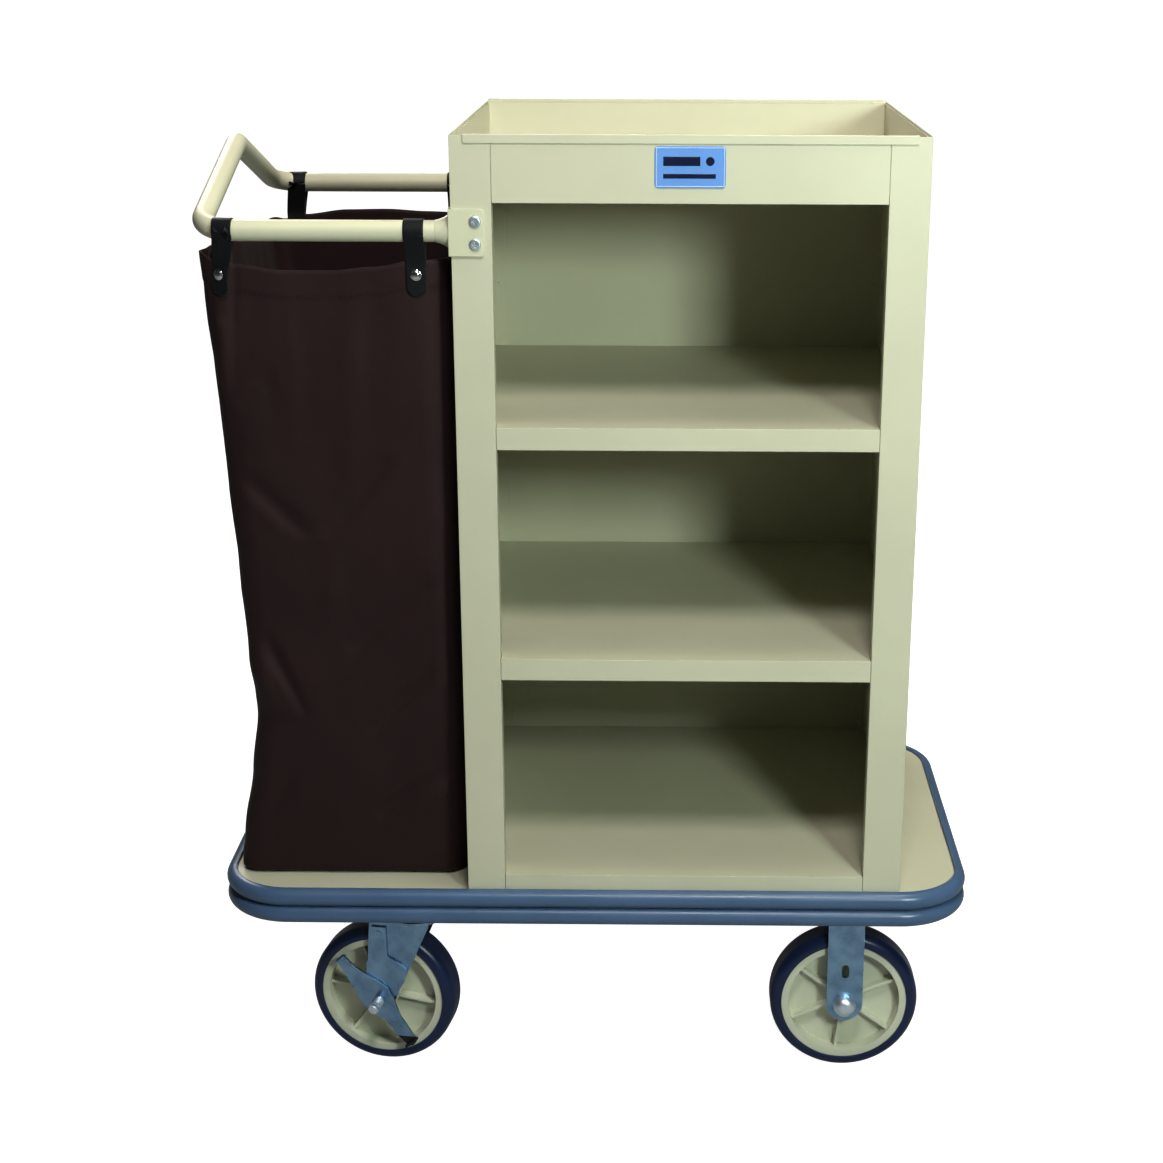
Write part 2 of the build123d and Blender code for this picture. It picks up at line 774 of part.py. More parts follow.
def rigid_fork():
    """Fixed fork: a bolted plate with two straight slotted legs."""
    slot_width, slot_length = rigid_slot
    with BuildPart() as fork:
        with BuildSketch(Plane.XY.offset(plate_bottom)):
            RectangleRounded(*caster_plate, caster_plate_corner)
            with Locations(*caster_bolt_places()):
                Circle(caster_bolt_radius + bolt_clearance, mode=Mode.SUBTRACT)
        extrude(amount=caster_plate_thickness)
        with BuildSketch(Plane.XZ.offset(leg_inner)):
            with Locations((0, (plate_bottom + wheel_radius) / 2)):
                Rectangle(rigid_leg_width, plate_bottom - wheel_radius)
            with Locations((0, wheel_radius)):
                Circle(rigid_leg_width / 2)
                Circle(axle_radius + axle_fit, mode=Mode.SUBTRACT)
            with Locations((0, wheel_radius + rigid_slot_rise)):
                SlotOverall(slot_length, slot_width, rotation=90, mode=Mode.SUBTRACT)
        extrude(amount=fork_plate)
        mirror(about=Plane.XZ)
    return fork.part


def axle_bolt(front_length, stud_length):
    """Axle bolt with its hexagon head on the inner leg, and a thinner stud at its front end."""
    with BuildPart() as bolt:
        with BuildSketch(Plane.XZ.offset(-leg_outer)):
            RegularPolygon(axle_head_hex / math.sqrt(3), 6)
        extrude(amount=-axle_head_height)
        with BuildSketch(Plane.XZ.offset(-leg_outer)):
            Circle(axle_radius)
        extrude(amount=2 * leg_outer + front_length)
        with BuildSketch(Plane.XZ.offset(leg_outer + front_length)):
            Circle(stud_radius)
        extrude(amount=stud_length)
    return bolt.part


def dome_nut():
    """Closed domed nut on a rigid caster's axle."""
    with BuildPart() as nut:
        with BuildSketch(Plane.XZ.offset(leg_outer)):
            Circle(dome_radius)
        extrude(amount=dome_height)
        fillet(nut.edges().group_by(Axis.Y)[0], dome_radius * 3 / 4)
        with BuildSketch(Plane.XZ.offset(leg_outer)):
            Circle(axle_radius)
        extrude(amount=dome_height * 2 / 3, mode=Mode.SUBTRACT)
    return nut.part


def swivel_plate():
    """Fixed top plate of a swivel caster, with the skirt that covers the ball race."""
    skirt_inner, skirt_outer = race_skirt
    with BuildPart() as plate:
        with BuildSketch(Plane.XY.offset(plate_bottom)):
            RectangleRounded(*caster_plate, caster_plate_corner)
            with Locations(*caster_bolt_places()):
                Circle(caster_bolt_radius + bolt_clearance, mode=Mode.SUBTRACT)
            Circle(kingpin_radius, mode=Mode.SUBTRACT)
        extrude(amount=caster_plate_thickness)
        with BuildSketch(Plane.XY.offset(plate_bottom)):
            Circle(skirt_outer)
            Circle(skirt_inner, mode=Mode.SUBTRACT)
        extrude(amount=-race_skirt_height)
    return plate.part


def kingpin():
    """Rivet through the top plate that holds the turning fork up."""
    head_radius, head_height = kingpin_head
    head_top = crown_top - fork_plate - kingpin_play
    with BuildPart() as pin:
        with BuildSketch(Plane.XY.offset(head_top)):
            Circle(head_radius)
        extrude(amount=-head_height)
        with BuildSketch(Plane.XY.offset(head_top)):
            Circle(kingpin_radius)
        extrude(amount=caster_height - head_top)
    return pin.part


def race_ring():
    """Bearing balls between the top plate and the fork's crown."""
    with BuildPart() as balls:
        with Locations((0, 0, (plate_bottom + crown_top) / 2)):
            with PolarLocations(race_radius, race_balls):
                Sphere(race_gap / 2 - running_gap)
    return balls.part


def swivel_fork():
    """Turning fork: a crown under the race and two legs raked back to the axle."""
    back_edge, front_edge = leg_top
    skirt_outer = race_skirt[1]
    with BuildPart() as fork:
        with BuildSketch(Plane.XY.offset(crown_top - fork_plate)):
            Circle(skirt_outer)
            with Locations(((back_edge + front_edge) / 2, 0)):
                Rectangle(front_edge - back_edge, 2 * leg_outer)
            Circle(kingpin_radius + running_gap, mode=Mode.SUBTRACT)
        extrude(amount=fork_plate)
        with BuildSketch(Plane.XZ.offset(leg_inner)):
            with Locations(((back_edge + front_edge) / 2, crown_top - fork_plate)):
                Rectangle(front_edge - back_edge, fork_plate)
            with Locations((-caster_trail, wheel_radius)):
                Circle(leg_eye_radius)
            make_hull()
            with Locations((-caster_trail, wheel_radius)):
                Circle(axle_radius + axle_fit, mode=Mode.SUBTRACT)
        extrude(amount=fork_plate)
        mirror(about=Plane.XZ)
    return fork.part


# ---------------------------------------------------------------- brakes

def brake_plate():
    """Upright strap riveted to the fork's front leg, with the eye round the axle."""
    edge = brake_strap_x - brake_strap_width / 2
    foot = [(edge, 72), (-18, 54), (-16, 22), (-brake_eye_radius, 0), (brake_eye_radius, 0), (36, 28),
            (41, 50), (33, 57), (edge + brake_strap_width, 68)]
    with BuildPart() as plate:
        with BuildSketch(Plane.XZ.offset(leg_outer)) as face:
            with BuildLine():
                Polyline(*foot, close=True)
            make_face()
            fillet(face.vertices(), brake_sheet)
            with Locations((brake_strap_x, brake_strap_top / 2)):
                Rectangle(brake_strap_width, brake_strap_top)
            Circle(brake_eye_radius)
            Circle(axle_radius + axle_fit, mode=Mode.SUBTRACT)
        extrude(amount=brake_sheet)
        with BuildSketch(Plane.XZ.offset(leg_outer + brake_sheet)):
            with Locations((brake_strap_x, brake_strap_top - brake_strap_width / 2)):
                Circle(rivet_head_radius)
        extrude(amount=rivet_head_height)
    return plate.part


def brake_lever():
    """Stamped lever that turns on the axle: a finger tab above, a foot pedal below."""
    outline = [(-61, 56), (-51, 66), (-35, 49), (-20, 40), (-4, 32), (14, 20), (21, 4), (30, -22),
               (53, -58), (47, -68), (35, -63), (6, -29), (-12, -21), (-25, -7), (-33, 8), (-45, 31)]
    start = leg_outer + brake_sheet + lever_play
    with BuildPart() as lever:
        with BuildSketch(Plane.XZ.offset(start)) as face:
            with BuildLine():
                Polyline(*outline, close=True)
            make_face()
            fillet(face.vertices(), brake_sheet)
            Circle(axle_radius + running_gap, mode=Mode.SUBTRACT)
        extrude(amount=brake_sheet)
        for (x, z), turn, reach in ((pedal_tip, pedal_turn, pedal_reach), (tab_tip, tab_turn, tab_reach)):
            with BuildSketch(Plane.XZ.offset(start)):
                with Locations(Location((x, z, 0), (0, 0, turn))):
                    Rectangle(pedal_width, brake_sheet)
            extrude(amount=reach)
    return lever.part


def lever_room():
    """Length of axle outside a leg that the brake's plate and lever take up."""
    return 2 * (brake_sheet + lever_play)


def spring_room():
    """Length of stud that the spring takes up."""
    return spring_pitch * spring_turns + 2 * spring_wire + lever_play


def brake_spring():
    """Coil on the axle's end that presses the lever back against its strap."""
    start = leg_outer + lever_room() + spring_wire
    length = spring_pitch * spring_turns
    with BuildPart() as spring:
        with BuildLine() as coil:
            Helix(spring_pitch, length, spring_radius, center=(0, -start, 0), direction=(0, -1, 0))
        with BuildSketch(Plane(origin=coil.line @ 0, z_dir=coil.line % 0)):
            Circle(spring_wire)
        sweep(path=coil.line, is_frenet=True)
    return spring.part


def axle_nut():
    """Hexagon nut and washer on the stud of a swivel caster's axle."""
    start = leg_outer + lever_room() + spring_room()
    with BuildPart() as nut:
        with BuildSketch(Plane.XZ.offset(start)):
            Circle(spring_radius + spring_wire)
        extrude(amount=bolt_tail)
        with BuildSketch(Plane.XZ.offset(start + bolt_tail)):
            RegularPolygon(stud_nut_hex / math.sqrt(3), 6)
        extrude(amount=stud_nut_height)
        with BuildSketch(Plane.XZ.offset(start)):
            Circle(stud_radius)
        extrude(amount=bolt_tail + stud_nut_height, mode=Mode.SUBTRACT)
    return nut.part


# ---------------------------------------------------------------- placing the casters

def group(pieces):
    """Several separate solids that share one node."""
    return Compound(children=pieces)


def make_rigid_casters():
    """The two fixed casters: domed nuts outwards, and a free wheel in each."""
    fork = rigid_fork()
    axle = axle_bolt(dome_height / 3, dome_height / 6)
    nut = dome_nut()
    sleeve = bushing()
    hub = wheel_hub(rib_turn["right"])
    tyre = wheel_tyre()
    spots = {"front": Location((rigid_caster_x, -caster_y, 0)),
             "rear": Location((rigid_caster_x, caster_y, 0), (0, 0, 180))}
    lift = Location((0, 0, wheel_radius))
    for end, spot in spots.items():
        save(fork.moved(spot), f"rigid_fork_{end}")
        save(hub.moved(spot * lift), f"wheel_hub_right_{end}")
        save(tyre.moved(spot * lift), f"tyre_right_{end}")
    for piece, label in ((axle, "rigid_axle_bolts"), (nut, "rigid_axle_domes"), (sleeve, "rigid_bushings")):
        save(group([piece.moved(spot * lift) for spot in spots.values()]), label)


def make_swivel_casters():
    """The two swivel casters, each turned about its kingpin and fitted with a brake."""
    lift = Location((-caster_trail, 0, wheel_radius))
    turning = {"swivel_fork": swivel_fork()}
    stud_length = spring_room() + 2 * bolt_tail + stud_nut_height
    on_axle = {"swivel_axle": axle_bolt(lever_room(), stud_length),
               "swivel_axle_nut": axle_nut(), "swivel_bushing": bushing(), "brake_plate": brake_plate(),
               "brake_lever": brake_lever(), "brake_spring": brake_spring(),
               "wheel_hub_left": wheel_hub(rib_turn["left"]), "tyre_left": wheel_tyre()}
    for end, side in (("front", -1), ("rear", 1)):
        spot = Location((swivel_axis_x, side * caster_y, 0), (0, 0, swivel_yaw[end]))
        for label, piece in turning.items():
            save(piece.moved(spot), f"{label}_{end}")
        for label, piece in on_axle.items():
            save(piece.moved(spot * lift), f"{label}_{end}")
    fixed = {"swivel_plates": swivel_plate(), "kingpins": kingpin(), "race_balls": race_ring()}
    spots = [Location((swivel_axis_x, side * caster_y, 0)) for side in (-1, 1)]
    for label, piece in fixed.items():
        save(group([piece.moved(spot) for spot in spots]), label)


# ---------------------------------------------------------------- the whole cart

make_deck()
make_bumper()
make_channel("caster_channel_left", swivel_axis_x)
make_channel("caster_channel_right", rigid_caster_x)
make_side_panel("left_side_panel", cabinet_left, 1)
make_side_panel("right_side_panel", cabinet_right, -1)
make_back_panel()
make_front_apron()
make_top_tray()
make_shelf("upper_shelf", upper_shelf_top, shelf_lip)
make_shelf("lower_shelf", lower_shelf_top, shelf_lip)
make_shelf("cabinet_floor", floor_top, floor_lip)
make_shelf_rivets()
make_back_rivets()
make_bolt_sets()
make_nameplate()
make_handle_tube()
make_bracket("handle_bracket_front", -1)
make_bracket("handle_bracket_rear", 1)
make_handle_fixings()
make_bag()
for rail_end, rail_side in (("front", -1), ("rear", 1)):
    for bag_end, bag_along in zip(("left", "right"), strap_positions):
        make_strap(f"bag_strap_{bag_end}_{rail_end}", bag_along, rail_side)
make_snaps()
caster_fixings()
make_rigid_casters()
make_swivel_casters()
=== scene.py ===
import json
import math

import bmesh
import bpy
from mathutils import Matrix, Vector, noise


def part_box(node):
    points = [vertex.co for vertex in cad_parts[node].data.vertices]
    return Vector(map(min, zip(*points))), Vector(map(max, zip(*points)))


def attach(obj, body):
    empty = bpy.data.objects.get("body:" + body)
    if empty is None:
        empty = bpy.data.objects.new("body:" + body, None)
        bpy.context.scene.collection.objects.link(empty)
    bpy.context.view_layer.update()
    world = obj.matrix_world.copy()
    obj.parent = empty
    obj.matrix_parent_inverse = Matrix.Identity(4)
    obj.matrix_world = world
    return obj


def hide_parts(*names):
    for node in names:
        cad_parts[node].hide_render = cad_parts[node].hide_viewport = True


# Housekeeping cart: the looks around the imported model. Metres, +Z up, front at -Y.

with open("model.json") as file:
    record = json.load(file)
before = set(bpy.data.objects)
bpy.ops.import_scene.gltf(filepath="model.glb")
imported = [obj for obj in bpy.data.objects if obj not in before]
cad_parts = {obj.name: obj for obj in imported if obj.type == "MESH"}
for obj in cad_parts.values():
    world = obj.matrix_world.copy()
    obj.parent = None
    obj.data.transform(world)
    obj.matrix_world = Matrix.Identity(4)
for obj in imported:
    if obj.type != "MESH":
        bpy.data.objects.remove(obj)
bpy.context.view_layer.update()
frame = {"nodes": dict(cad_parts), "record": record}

# ---------------------------------------------------------------- sizes and places

MM = 0.001
TAU = 2 * math.pi

BAG_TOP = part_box("laundry_bag")[1].z
DECK_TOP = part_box("deck")[1].z
tube_low, tube_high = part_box("handle_tube")
plate_low, plate_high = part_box("nameplate")

TUBE_RADIUS = 13.35 * MM
RAIL_Y = tube_high.y - TUBE_RADIUS
RAIL_Z = tube_low.z + TUBE_RADIUS


# ---------------------------------------------------------------- small helpers

def node(tree, kind, **values):
    """A shader node with its settings and unlinked inputs filled in by name."""
    made = tree.nodes.new(kind)
    for key, value in values.items():
        if hasattr(made, key):
            setattr(made, key, value)
        else:
            made.inputs[key.replace("_", " ")].default_value = value
    return made


def link(tree, source, target):
    tree.links.new(source, target)


def math_node(tree, operation, first, second=None):
    """One Math node; each argument is a socket or a number."""
    made = tree.nodes.new("ShaderNodeMath")
    made.operation = operation
    for index, value in enumerate((first, second)):
        if value is None:
            continue
        if isinstance(value, (int, float)):
            made.inputs[index].default_value = value
        else:
            link(tree, value, made.inputs[index])
    return made.outputs[0]


def mix_colour(tree, factor, first, second):
    """A colour mix; each colour is a socket or a tuple."""
    made = tree.nodes.new("ShaderNodeMix")
    made.data_type = "RGBA"
    sockets = [made.inputs[0], made.inputs[6], made.inputs[7]]
    for target, value in zip(sockets, (factor, first, second)):
        if isinstance(value, (int, float)):
            target.default_value = value
        elif isinstance(value, tuple):
            target.default_value = (*value, 1.0)
        else:
            link(tree, value, target)
    return made.outputs[2]


def ramp(tree, value, low, high):
    """A mask that runs from black at one value to white at another."""
    made = tree.nodes.new("ShaderNodeValToRGB")
    for element, place, grey in zip(made.color_ramp.elements, (low, high), (0.0, 1.0)):
        element.position = place
        element.color = (grey, grey, grey, 1.0)
    link(tree, value, made.inputs[0])
    return made.outputs[0]


def group_tree(name, inputs, outputs):
    """An empty shader node group with named float inputs and outputs."""
    tree = bpy.data.node_groups.new(name, "ShaderNodeTree")
    for label, default in inputs:
        made = tree.interface.new_socket(name=label, in_out="INPUT", socket_type="NodeSocketFloat")
        made.default_value = default
    for label in outputs:
        tree.interface.new_socket(name=label, in_out="OUTPUT", socket_type="NodeSocketFloat")
    return tree, tree.nodes.new("NodeGroupInput"), tree.nodes.new("NodeGroupOutput")


def use_group(tree, group, **values):
    """Places a node group in a material with its own values."""
    made = tree.nodes.new("ShaderNodeGroup")
    made.node_tree = group
    for key, value in values.items():
        made.inputs[key.replace("_", " ")].default_value = value
    return made


# ---------------------------------------------------------------- shared effects

def make_grain_group():
    """Fine moulded or sprayed grain over slow, wide mottling, on Object coordinates."""
    tree, given, out = group_tree("surface_grain", [("Fine", 900.0), ("Wide", 6.0)], ["Height", "Tone"])
    coords = node(tree, "ShaderNodeTexCoord")
    fine = node(tree, "ShaderNodeTexNoise", Detail=2.0)
    wide = node(tree, "ShaderNodeTexNoise", Detail=4.0)
    for made, label in ((fine, "Fine"), (wide, "Wide")):
        link(tree, coords.outputs["Object"], made.inputs["Vector"])
        link(tree, given.outputs[label], made.inputs["Scale"])
    link(tree, fine.outputs["Fac"], out.inputs["Height"])
    link(tree, wide.outputs["Fac"], out.inputs["Tone"])
    return tree


WEAR_AND_HIGHLIGHT_RADIUS = 1.6 * MM
WEAR_AND_HIGHLIGHT_EDGE = 6.0
WEAR_AND_HIGHLIGHT_PATCH = 8.0


def make_edge_wear_and_highlight_group():
    """Mask of convex edges, broken up by noise: where paint and moulded finishes rub thin, and where
    plated parts get a painted highlight.
    """
    tree, given, out = group_tree("edge_wear_and_highlight", [("Scale", 60.0), ("Cut", 0.55)], ["Mask"])
    bevel = node(tree, "ShaderNodeBevel", samples=4, Radius=WEAR_AND_HIGHLIGHT_RADIUS)
    shape = node(tree, "ShaderNodeNewGeometry")
    meet = node(tree, "ShaderNodeVectorMath", operation="DOT_PRODUCT")
    link(tree, bevel.outputs["Normal"], meet.inputs[0])
    link(tree, shape.outputs["Normal"], meet.inputs[1])
    edge = math_node(tree, "SUBTRACT", 1.0, meet.outputs["Value"])
    edge = math_node(tree, "MULTIPLY", edge, WEAR_AND_HIGHLIGHT_EDGE)
    coords = node(tree, "ShaderNodeTexCoord")
    patches = node(tree, "ShaderNodeTexNoise", Detail=3.0)
    link(tree, coords.outputs["Object"], patches.inputs["Vector"])
    link(tree, given.outputs["Scale"], patches.inputs["Scale"])
    over = math_node(tree, "SUBTRACT", patches.outputs["Fac"], given.outputs["Cut"])
    over = math_node(tree, "MULTIPLY", over, WEAR_AND_HIGHLIGHT_PATCH)
    over = math_node(tree, "MAXIMUM", over, 0.0)
    mask = math_node(tree, "MULTIPLY", edge, over)
    link(tree, math_node(tree, "MINIMUM", mask, 1.0), out.inputs["Mask"])
    return tree


def make_weave_group():
    """Plain weave on a UV map laid out in metres: threads over and under in both directions."""
    tree, given, out = group_tree("plain_weave", [("Threads", 1600.0)], ["Height", "Thread"])
    uv = node(tree, "ShaderNodeUVMap")
    split = node(tree, "ShaderNodeSeparateXYZ")
    link(tree, uv.outputs["UV"], split.inputs[0])
    waves = []
    for axis in ("X", "Y"):
        turn = math_node(tree, "MULTIPLY", split.outputs[axis], given.outputs["Threads"])
        turn = math_node(tree, "MULTIPLY", turn, math.pi)
        waves.append((math_node(tree, "SINE", turn), turn))
    weft = math_node(tree, "ABSOLUTE", waves[0][0])
    warp = math_node(tree, "ABSOLUTE", waves[1][0])
    crossing = math_node(tree, "MULTIPLY", waves[0][0], waves[1][0])
    height = math_node(tree, "MULTIPLY", math_node(tree, "ADD", weft, warp), 0.35)
    height = math_node(tree, "ADD", height, math_node(tree, "MULTIPLY", crossing, 0.3))
    link(tree, height, out.inputs["Height"])
    link(tree, math_node(tree, "MAXIMUM", crossing, 0.0), out.inputs["Thread"])
    return tree


GRAIN = make_grain_group()
EDGE_WEAR_AND_HIGHLIGHT = make_edge_wear_and_highlight_group()
WEAVE = make_weave_group()


# ---------------------------------------------------------------- materials

def shell(name, roughness, metallic=0.0, **sockets):
    """A material with its Principled shader; the constants sit on the shader's own sockets."""
    made = bpy.data.materials.new(name)
    made.use_nodes = True
    tree = made.node_tree
    shader = tree.nodes["Principled BSDF"]
    shader.inputs["Roughness"].default_value = roughness
    shader.inputs["Metallic"].default_value = metallic
    for key, value in sockets.items():
        shader.inputs[key.replace("_", " ")].default_value = value
    return made, tree, shader


def raise_bump(tree, shader, height, distance, rounded=0.0):
    """Feeds a height into the shader's Normal, over rounded edges if asked."""
    bump = node(tree, "ShaderNodeBump", Strength=1.0, Distance=distance)
    link(tree, height, bump.inputs["Height"])
    if rounded:
        bevel = node(tree, "ShaderNodeBevel", samples=4, Radius=rounded)
        link(tree, bevel.outputs["Normal"], bump.inputs["Normal"])
    link(tree, bump.outputs["Normal"], shader.inputs["Normal"])


def scaled(tree, value, low, high):
    """A 0..1 value spread between two limits."""
    return math_node(tree, "ADD", math_node(tree, "MULTIPLY", value, high - low), low)


def paint(name, colour, shade, worn, roughness=0.42):
    """Sprayed enamel: orange peel, slow mottling, rubbed edges."""
    made, tree, shader = shell(name, roughness, Coat_Roughness=0.25)
    grain = use_group(tree, GRAIN, Fine=650.0, Wide=5.0)
    wear_and_highlight = use_group(tree, EDGE_WEAR_AND_HIGHLIGHT, Scale=45.0, Cut=0.56)
    tone = ramp(tree, grain.outputs["Tone"], 0.35, 0.7)
    body = mix_colour(tree, tone, shade, colour)
    link(tree, mix_colour(tree, wear_and_highlight.outputs["Mask"], body, worn), shader.inputs["Base Color"])
    link(tree, scaled(tree, grain.outputs["Tone"], roughness - 0.06, roughness + 0.12),
         shader.inputs["Roughness"])
    raise_bump(tree, shader, grain.outputs["Height"], 0.06 * MM, rounded=1.3 * MM)
    return made


def plated(name, colour, dull, roughness, fine=1400.0, bump=0.03):
    """Zinc or nickel plate: cloudy patches, a fine drawn grain and a painted highlight on the convex
    edges.
    """
    made, tree, shader = shell(name, roughness, metallic=1.0)
    grain = use_group(tree, GRAIN, Fine=fine, Wide=38.0)
    tone = ramp(tree, grain.outputs["Tone"], 0.38, 0.66)
    wear_and_highlight = use_group(tree, EDGE_WEAR_AND_HIGHLIGHT, Scale=120.0, Cut=0.45)
    body = mix_colour(tree, tone, dull, colour)
    # Painted highlight: the plate's colour made lighter in noisy patches along its convex edges, where
    # light glints.
    bright = tuple(min(1.0, c * 1.5) for c in colour)
    link(tree, mix_colour(tree, wear_and_highlight.outputs["Mask"], body, bright), shader.inputs["Base Color"])
    link(tree, scaled(tree, grain.outputs["Tone"], roughness - 0.08, roughness + 0.14),
         shader.inputs["Roughness"])
    raise_bump(tree, shader, grain.outputs["Height"], bump * MM, rounded=0.6 * MM)
    return made


def moulded(name, colour, shade, roughness, fine=1100.0, bump=0.05, rounded=0.8, scuff=None):
    """Moulded plastic, vinyl or rubber: fine grain, mottled tone, scuffed edges."""
    made, tree, shader = shell(name, roughness)
    grain = use_group(tree, GRAIN, Fine=fine, Wide=11.0)
    tone = ramp(tree, grain.outputs["Tone"], 0.35, 0.7)
    body = mix_colour(tree, tone, shade, colour)
    if scuff:
        wear_and_highlight = use_group(tree, EDGE_WEAR_AND_HIGHLIGHT, Scale=75.0, Cut=0.5)
        body = mix_colour(tree, wear_and_highlight.outputs["Mask"], body, scuff)
    link(tree, body, shader.inputs["Base Color"])
    link(tree, scaled(tree, grain.outputs["Tone"], roughness - 0.07, roughness + 0.13),
         shader.inputs["Roughness"])
    raise_bump(tree, shader, grain.outputs["Height"], bump * MM, rounded=rounded * MM)
    return made


def cloth(name, colour, thread, threads, roughness, bump, sheen):
    """Woven cloth on a UV map in metres: weave, thread colour and slow fading."""
    made, tree, shader = shell(name, roughness, Sheen_Weight=sheen, Sheen_Roughness=0.4,
                               Specular_IOR_Level=0.22)
    weave = use_group(tree, WEAVE, Threads=threads)
    grain = use_group(tree, GRAIN, Fine=320.0, Wide=7.0)
    tone = ramp(tree, grain.outputs["Tone"], 0.3, 0.75)
    faded = mix_colour(tree, tone, tuple(c * 0.8 for c in colour), colour)
    link(tree, mix_colour(tree, weave.outputs["Thread"], faded, thread), shader.inputs["Base Color"])
    link(tree, scaled(tree, grain.outputs["Tone"], roughness - 0.08, roughness + 0.08),
         shader.inputs["Roughness"])
    height = math_node(tree, "ADD", weave.outputs["Height"],
                       math_node(tree, "MULTIPLY", grain.outputs["Height"], 0.5))
    raise_bump(tree, shader, height, bump * MM)
    return made


cabinet_paint = paint("cabinet_paint", (0.62, 0.605, 0.48), (0.585, 0.57, 0.45), (0.68, 0.68, 0.6))
tube_paint = paint("tube_paint", (0.68, 0.67, 0.52), (0.63, 0.62, 0.48), (0.72, 0.72, 0.63), 0.34)
bumper_vinyl = moulded("bumper_vinyl", (0.095, 0.16, 0.285), (0.082, 0.142, 0.255), 0.30,
                       fine=700.0, bump=0.04, rounded=1.0, scuff=(0.2, 0.24, 0.29))
tyre_rubber = moulded("tyre_rubber", (0.011, 0.024, 0.088), (0.008, 0.018, 0.068), 0.32,
                      fine=900.0, bump=0.05, scuff=(0.045, 0.065, 0.11))
hub_plastic = moulded("hub_plastic", (0.66, 0.67, 0.55), (0.60, 0.61, 0.50), 0.42,
                      fine=1300.0, bump=0.05, scuff=(0.70, 0.72, 0.63))
caster_zinc = plated("caster_zinc", (0.30, 0.46, 0.66), (0.20, 0.32, 0.48), 0.27)
fastener_steel = plated("fastener_steel", (0.80, 0.88, 0.98), (0.62, 0.70, 0.80), 0.42)
rivet_alloy = plated("rivet_alloy", (0.6, 0.6, 0.56), (0.5, 0.5, 0.46), 0.38)
snap_nickel = plated("snap_nickel", (0.78, 0.79, 0.8), (0.62, 0.63, 0.66), 0.16)
bag_canvas = cloth("bag_canvas", (0.031, 0.015, 0.016), (0.044, 0.024, 0.025),
                   threads=1100.0, roughness=0.56, bump=0.16, sheen=0.04)
strap_webbing = cloth("strap_webbing", (0.0085, 0.009, 0.012), (0.016, 0.017, 0.022),
                      threads=420.0, roughness=0.55, bump=0.3, sheen=0.12)
thread_black = moulded("thread_black", (0.011, 0.007, 0.008), (0.008, 0.005, 0.006), 0.6, fine=2000.0)
nameplate_blue = moulded("nameplate_blue", (0.19, 0.37, 0.78), (0.17, 0.34, 0.72), 0.22, bump=0.01)
nameplate_navy = moulded("nameplate_navy", (0.014, 0.022, 0.07), (0.01, 0.016, 0.055), 0.25,
                         bump=0.01)
nameplate_pale = moulded("nameplate_pale", (0.62, 0.72, 0.84), (0.57, 0.67, 0.8), 0.25, bump=0.01)



PEDAL_DIP = 50 * MM
PEDAL_RUBBER = (0.012, 0.014, 0.02)
RUBBER_ROUGHNESS = 0.6


def dip_pedals(made):
    """Rubber over the plated lever's foot pedal, below a height at rest."""
    tree = made.node_tree
    shader = tree.nodes["Principled BSDF"]
    coords = node(tree, "ShaderNodeTexCoord")
    split = node(tree, "ShaderNodeSeparateXYZ")
    link(tree, coords.outputs["Object"], split.inputs[0])
    below = math_node(tree, "LESS_THAN", split.outputs["Z"], PEDAL_DIP)
    colour = shader.inputs["Base Color"]
    link(tree, mix_colour(tree, below, colour.links[0].from_socket, PEDAL_RUBBER), colour)
    for label, value in (("Roughness", RUBBER_ROUGHNESS), ("Metallic", 0.0)):
        target = shader.inputs[label]
        before = target.links[0].from_socket if target.links else target.default_value
        kept = math_node(tree, "SUBTRACT", 1.0, below)
        kept = math_node(tree, "MULTIPLY", kept, before)
        link(tree, math_node(tree, "ADD", kept, math_node(tree, "MULTIPLY", below, value)), target)
    return made


lever_zinc = dip_pedals(plated("lever_zinc", (0.30, 0.46, 0.66), (0.20, 0.32, 0.48), 0.27))

NODE_FINISH = {
    "cabinet_paint": cabinet_paint, "bumper_vinyl": bumper_vinyl, "rivet_alloy": rivet_alloy,
    "fastener_steel": fastener_steel, "caster_zinc": caster_zinc, "nameplate_blue": nameplate_blue,
    "bag_canvas": bag_canvas, "strap_webbing": strap_webbing, "snap_nickel": snap_nickel,
    "hub_plastic": hub_plastic, "tyre_rubber": tyre_rubber,
}


def finish_cad_nodes():
    """Gives every CAD node the material of its slot; the tube has a smoother coat."""
    slot_of = {part["node"]: part["material_slot"] for part in frame["record"]["subparts"]}
    for name, cad in frame["nodes"].items():
        cad.data.materials.clear()
        cad.data.materials.append(NODE_FINISH[slot_of[name]])
    for name in ("handle_tube", "handle_bracket_front", "handle_bracket_rear"):
        frame["nodes"][name].data.materials[0] = tube_paint
    for name in ("brake_lever_front", "brake_lever_rear"):
        frame["nodes"][name].data.materials[0] = lever_zinc


# ---------------------------------------------------------------- stage

CAMERA_SPOT = (0.0961, -2.7196, 1.5176)
CAMERA_PITCH, CAMERA_ROLL, CAMERA_YAW = 90 - 17.8, -0.18, 0.555
CAMERA_LENS, CAMERA_SENSOR, CAMERA_SHIFT = 61.8, 36.0, -0.0589

WORLD_LIGHT = 0.035
FLOOR_LIGHT = 0.05
FLOOR_SEEN = 0.97
VIEW_GAMMA = 0.83

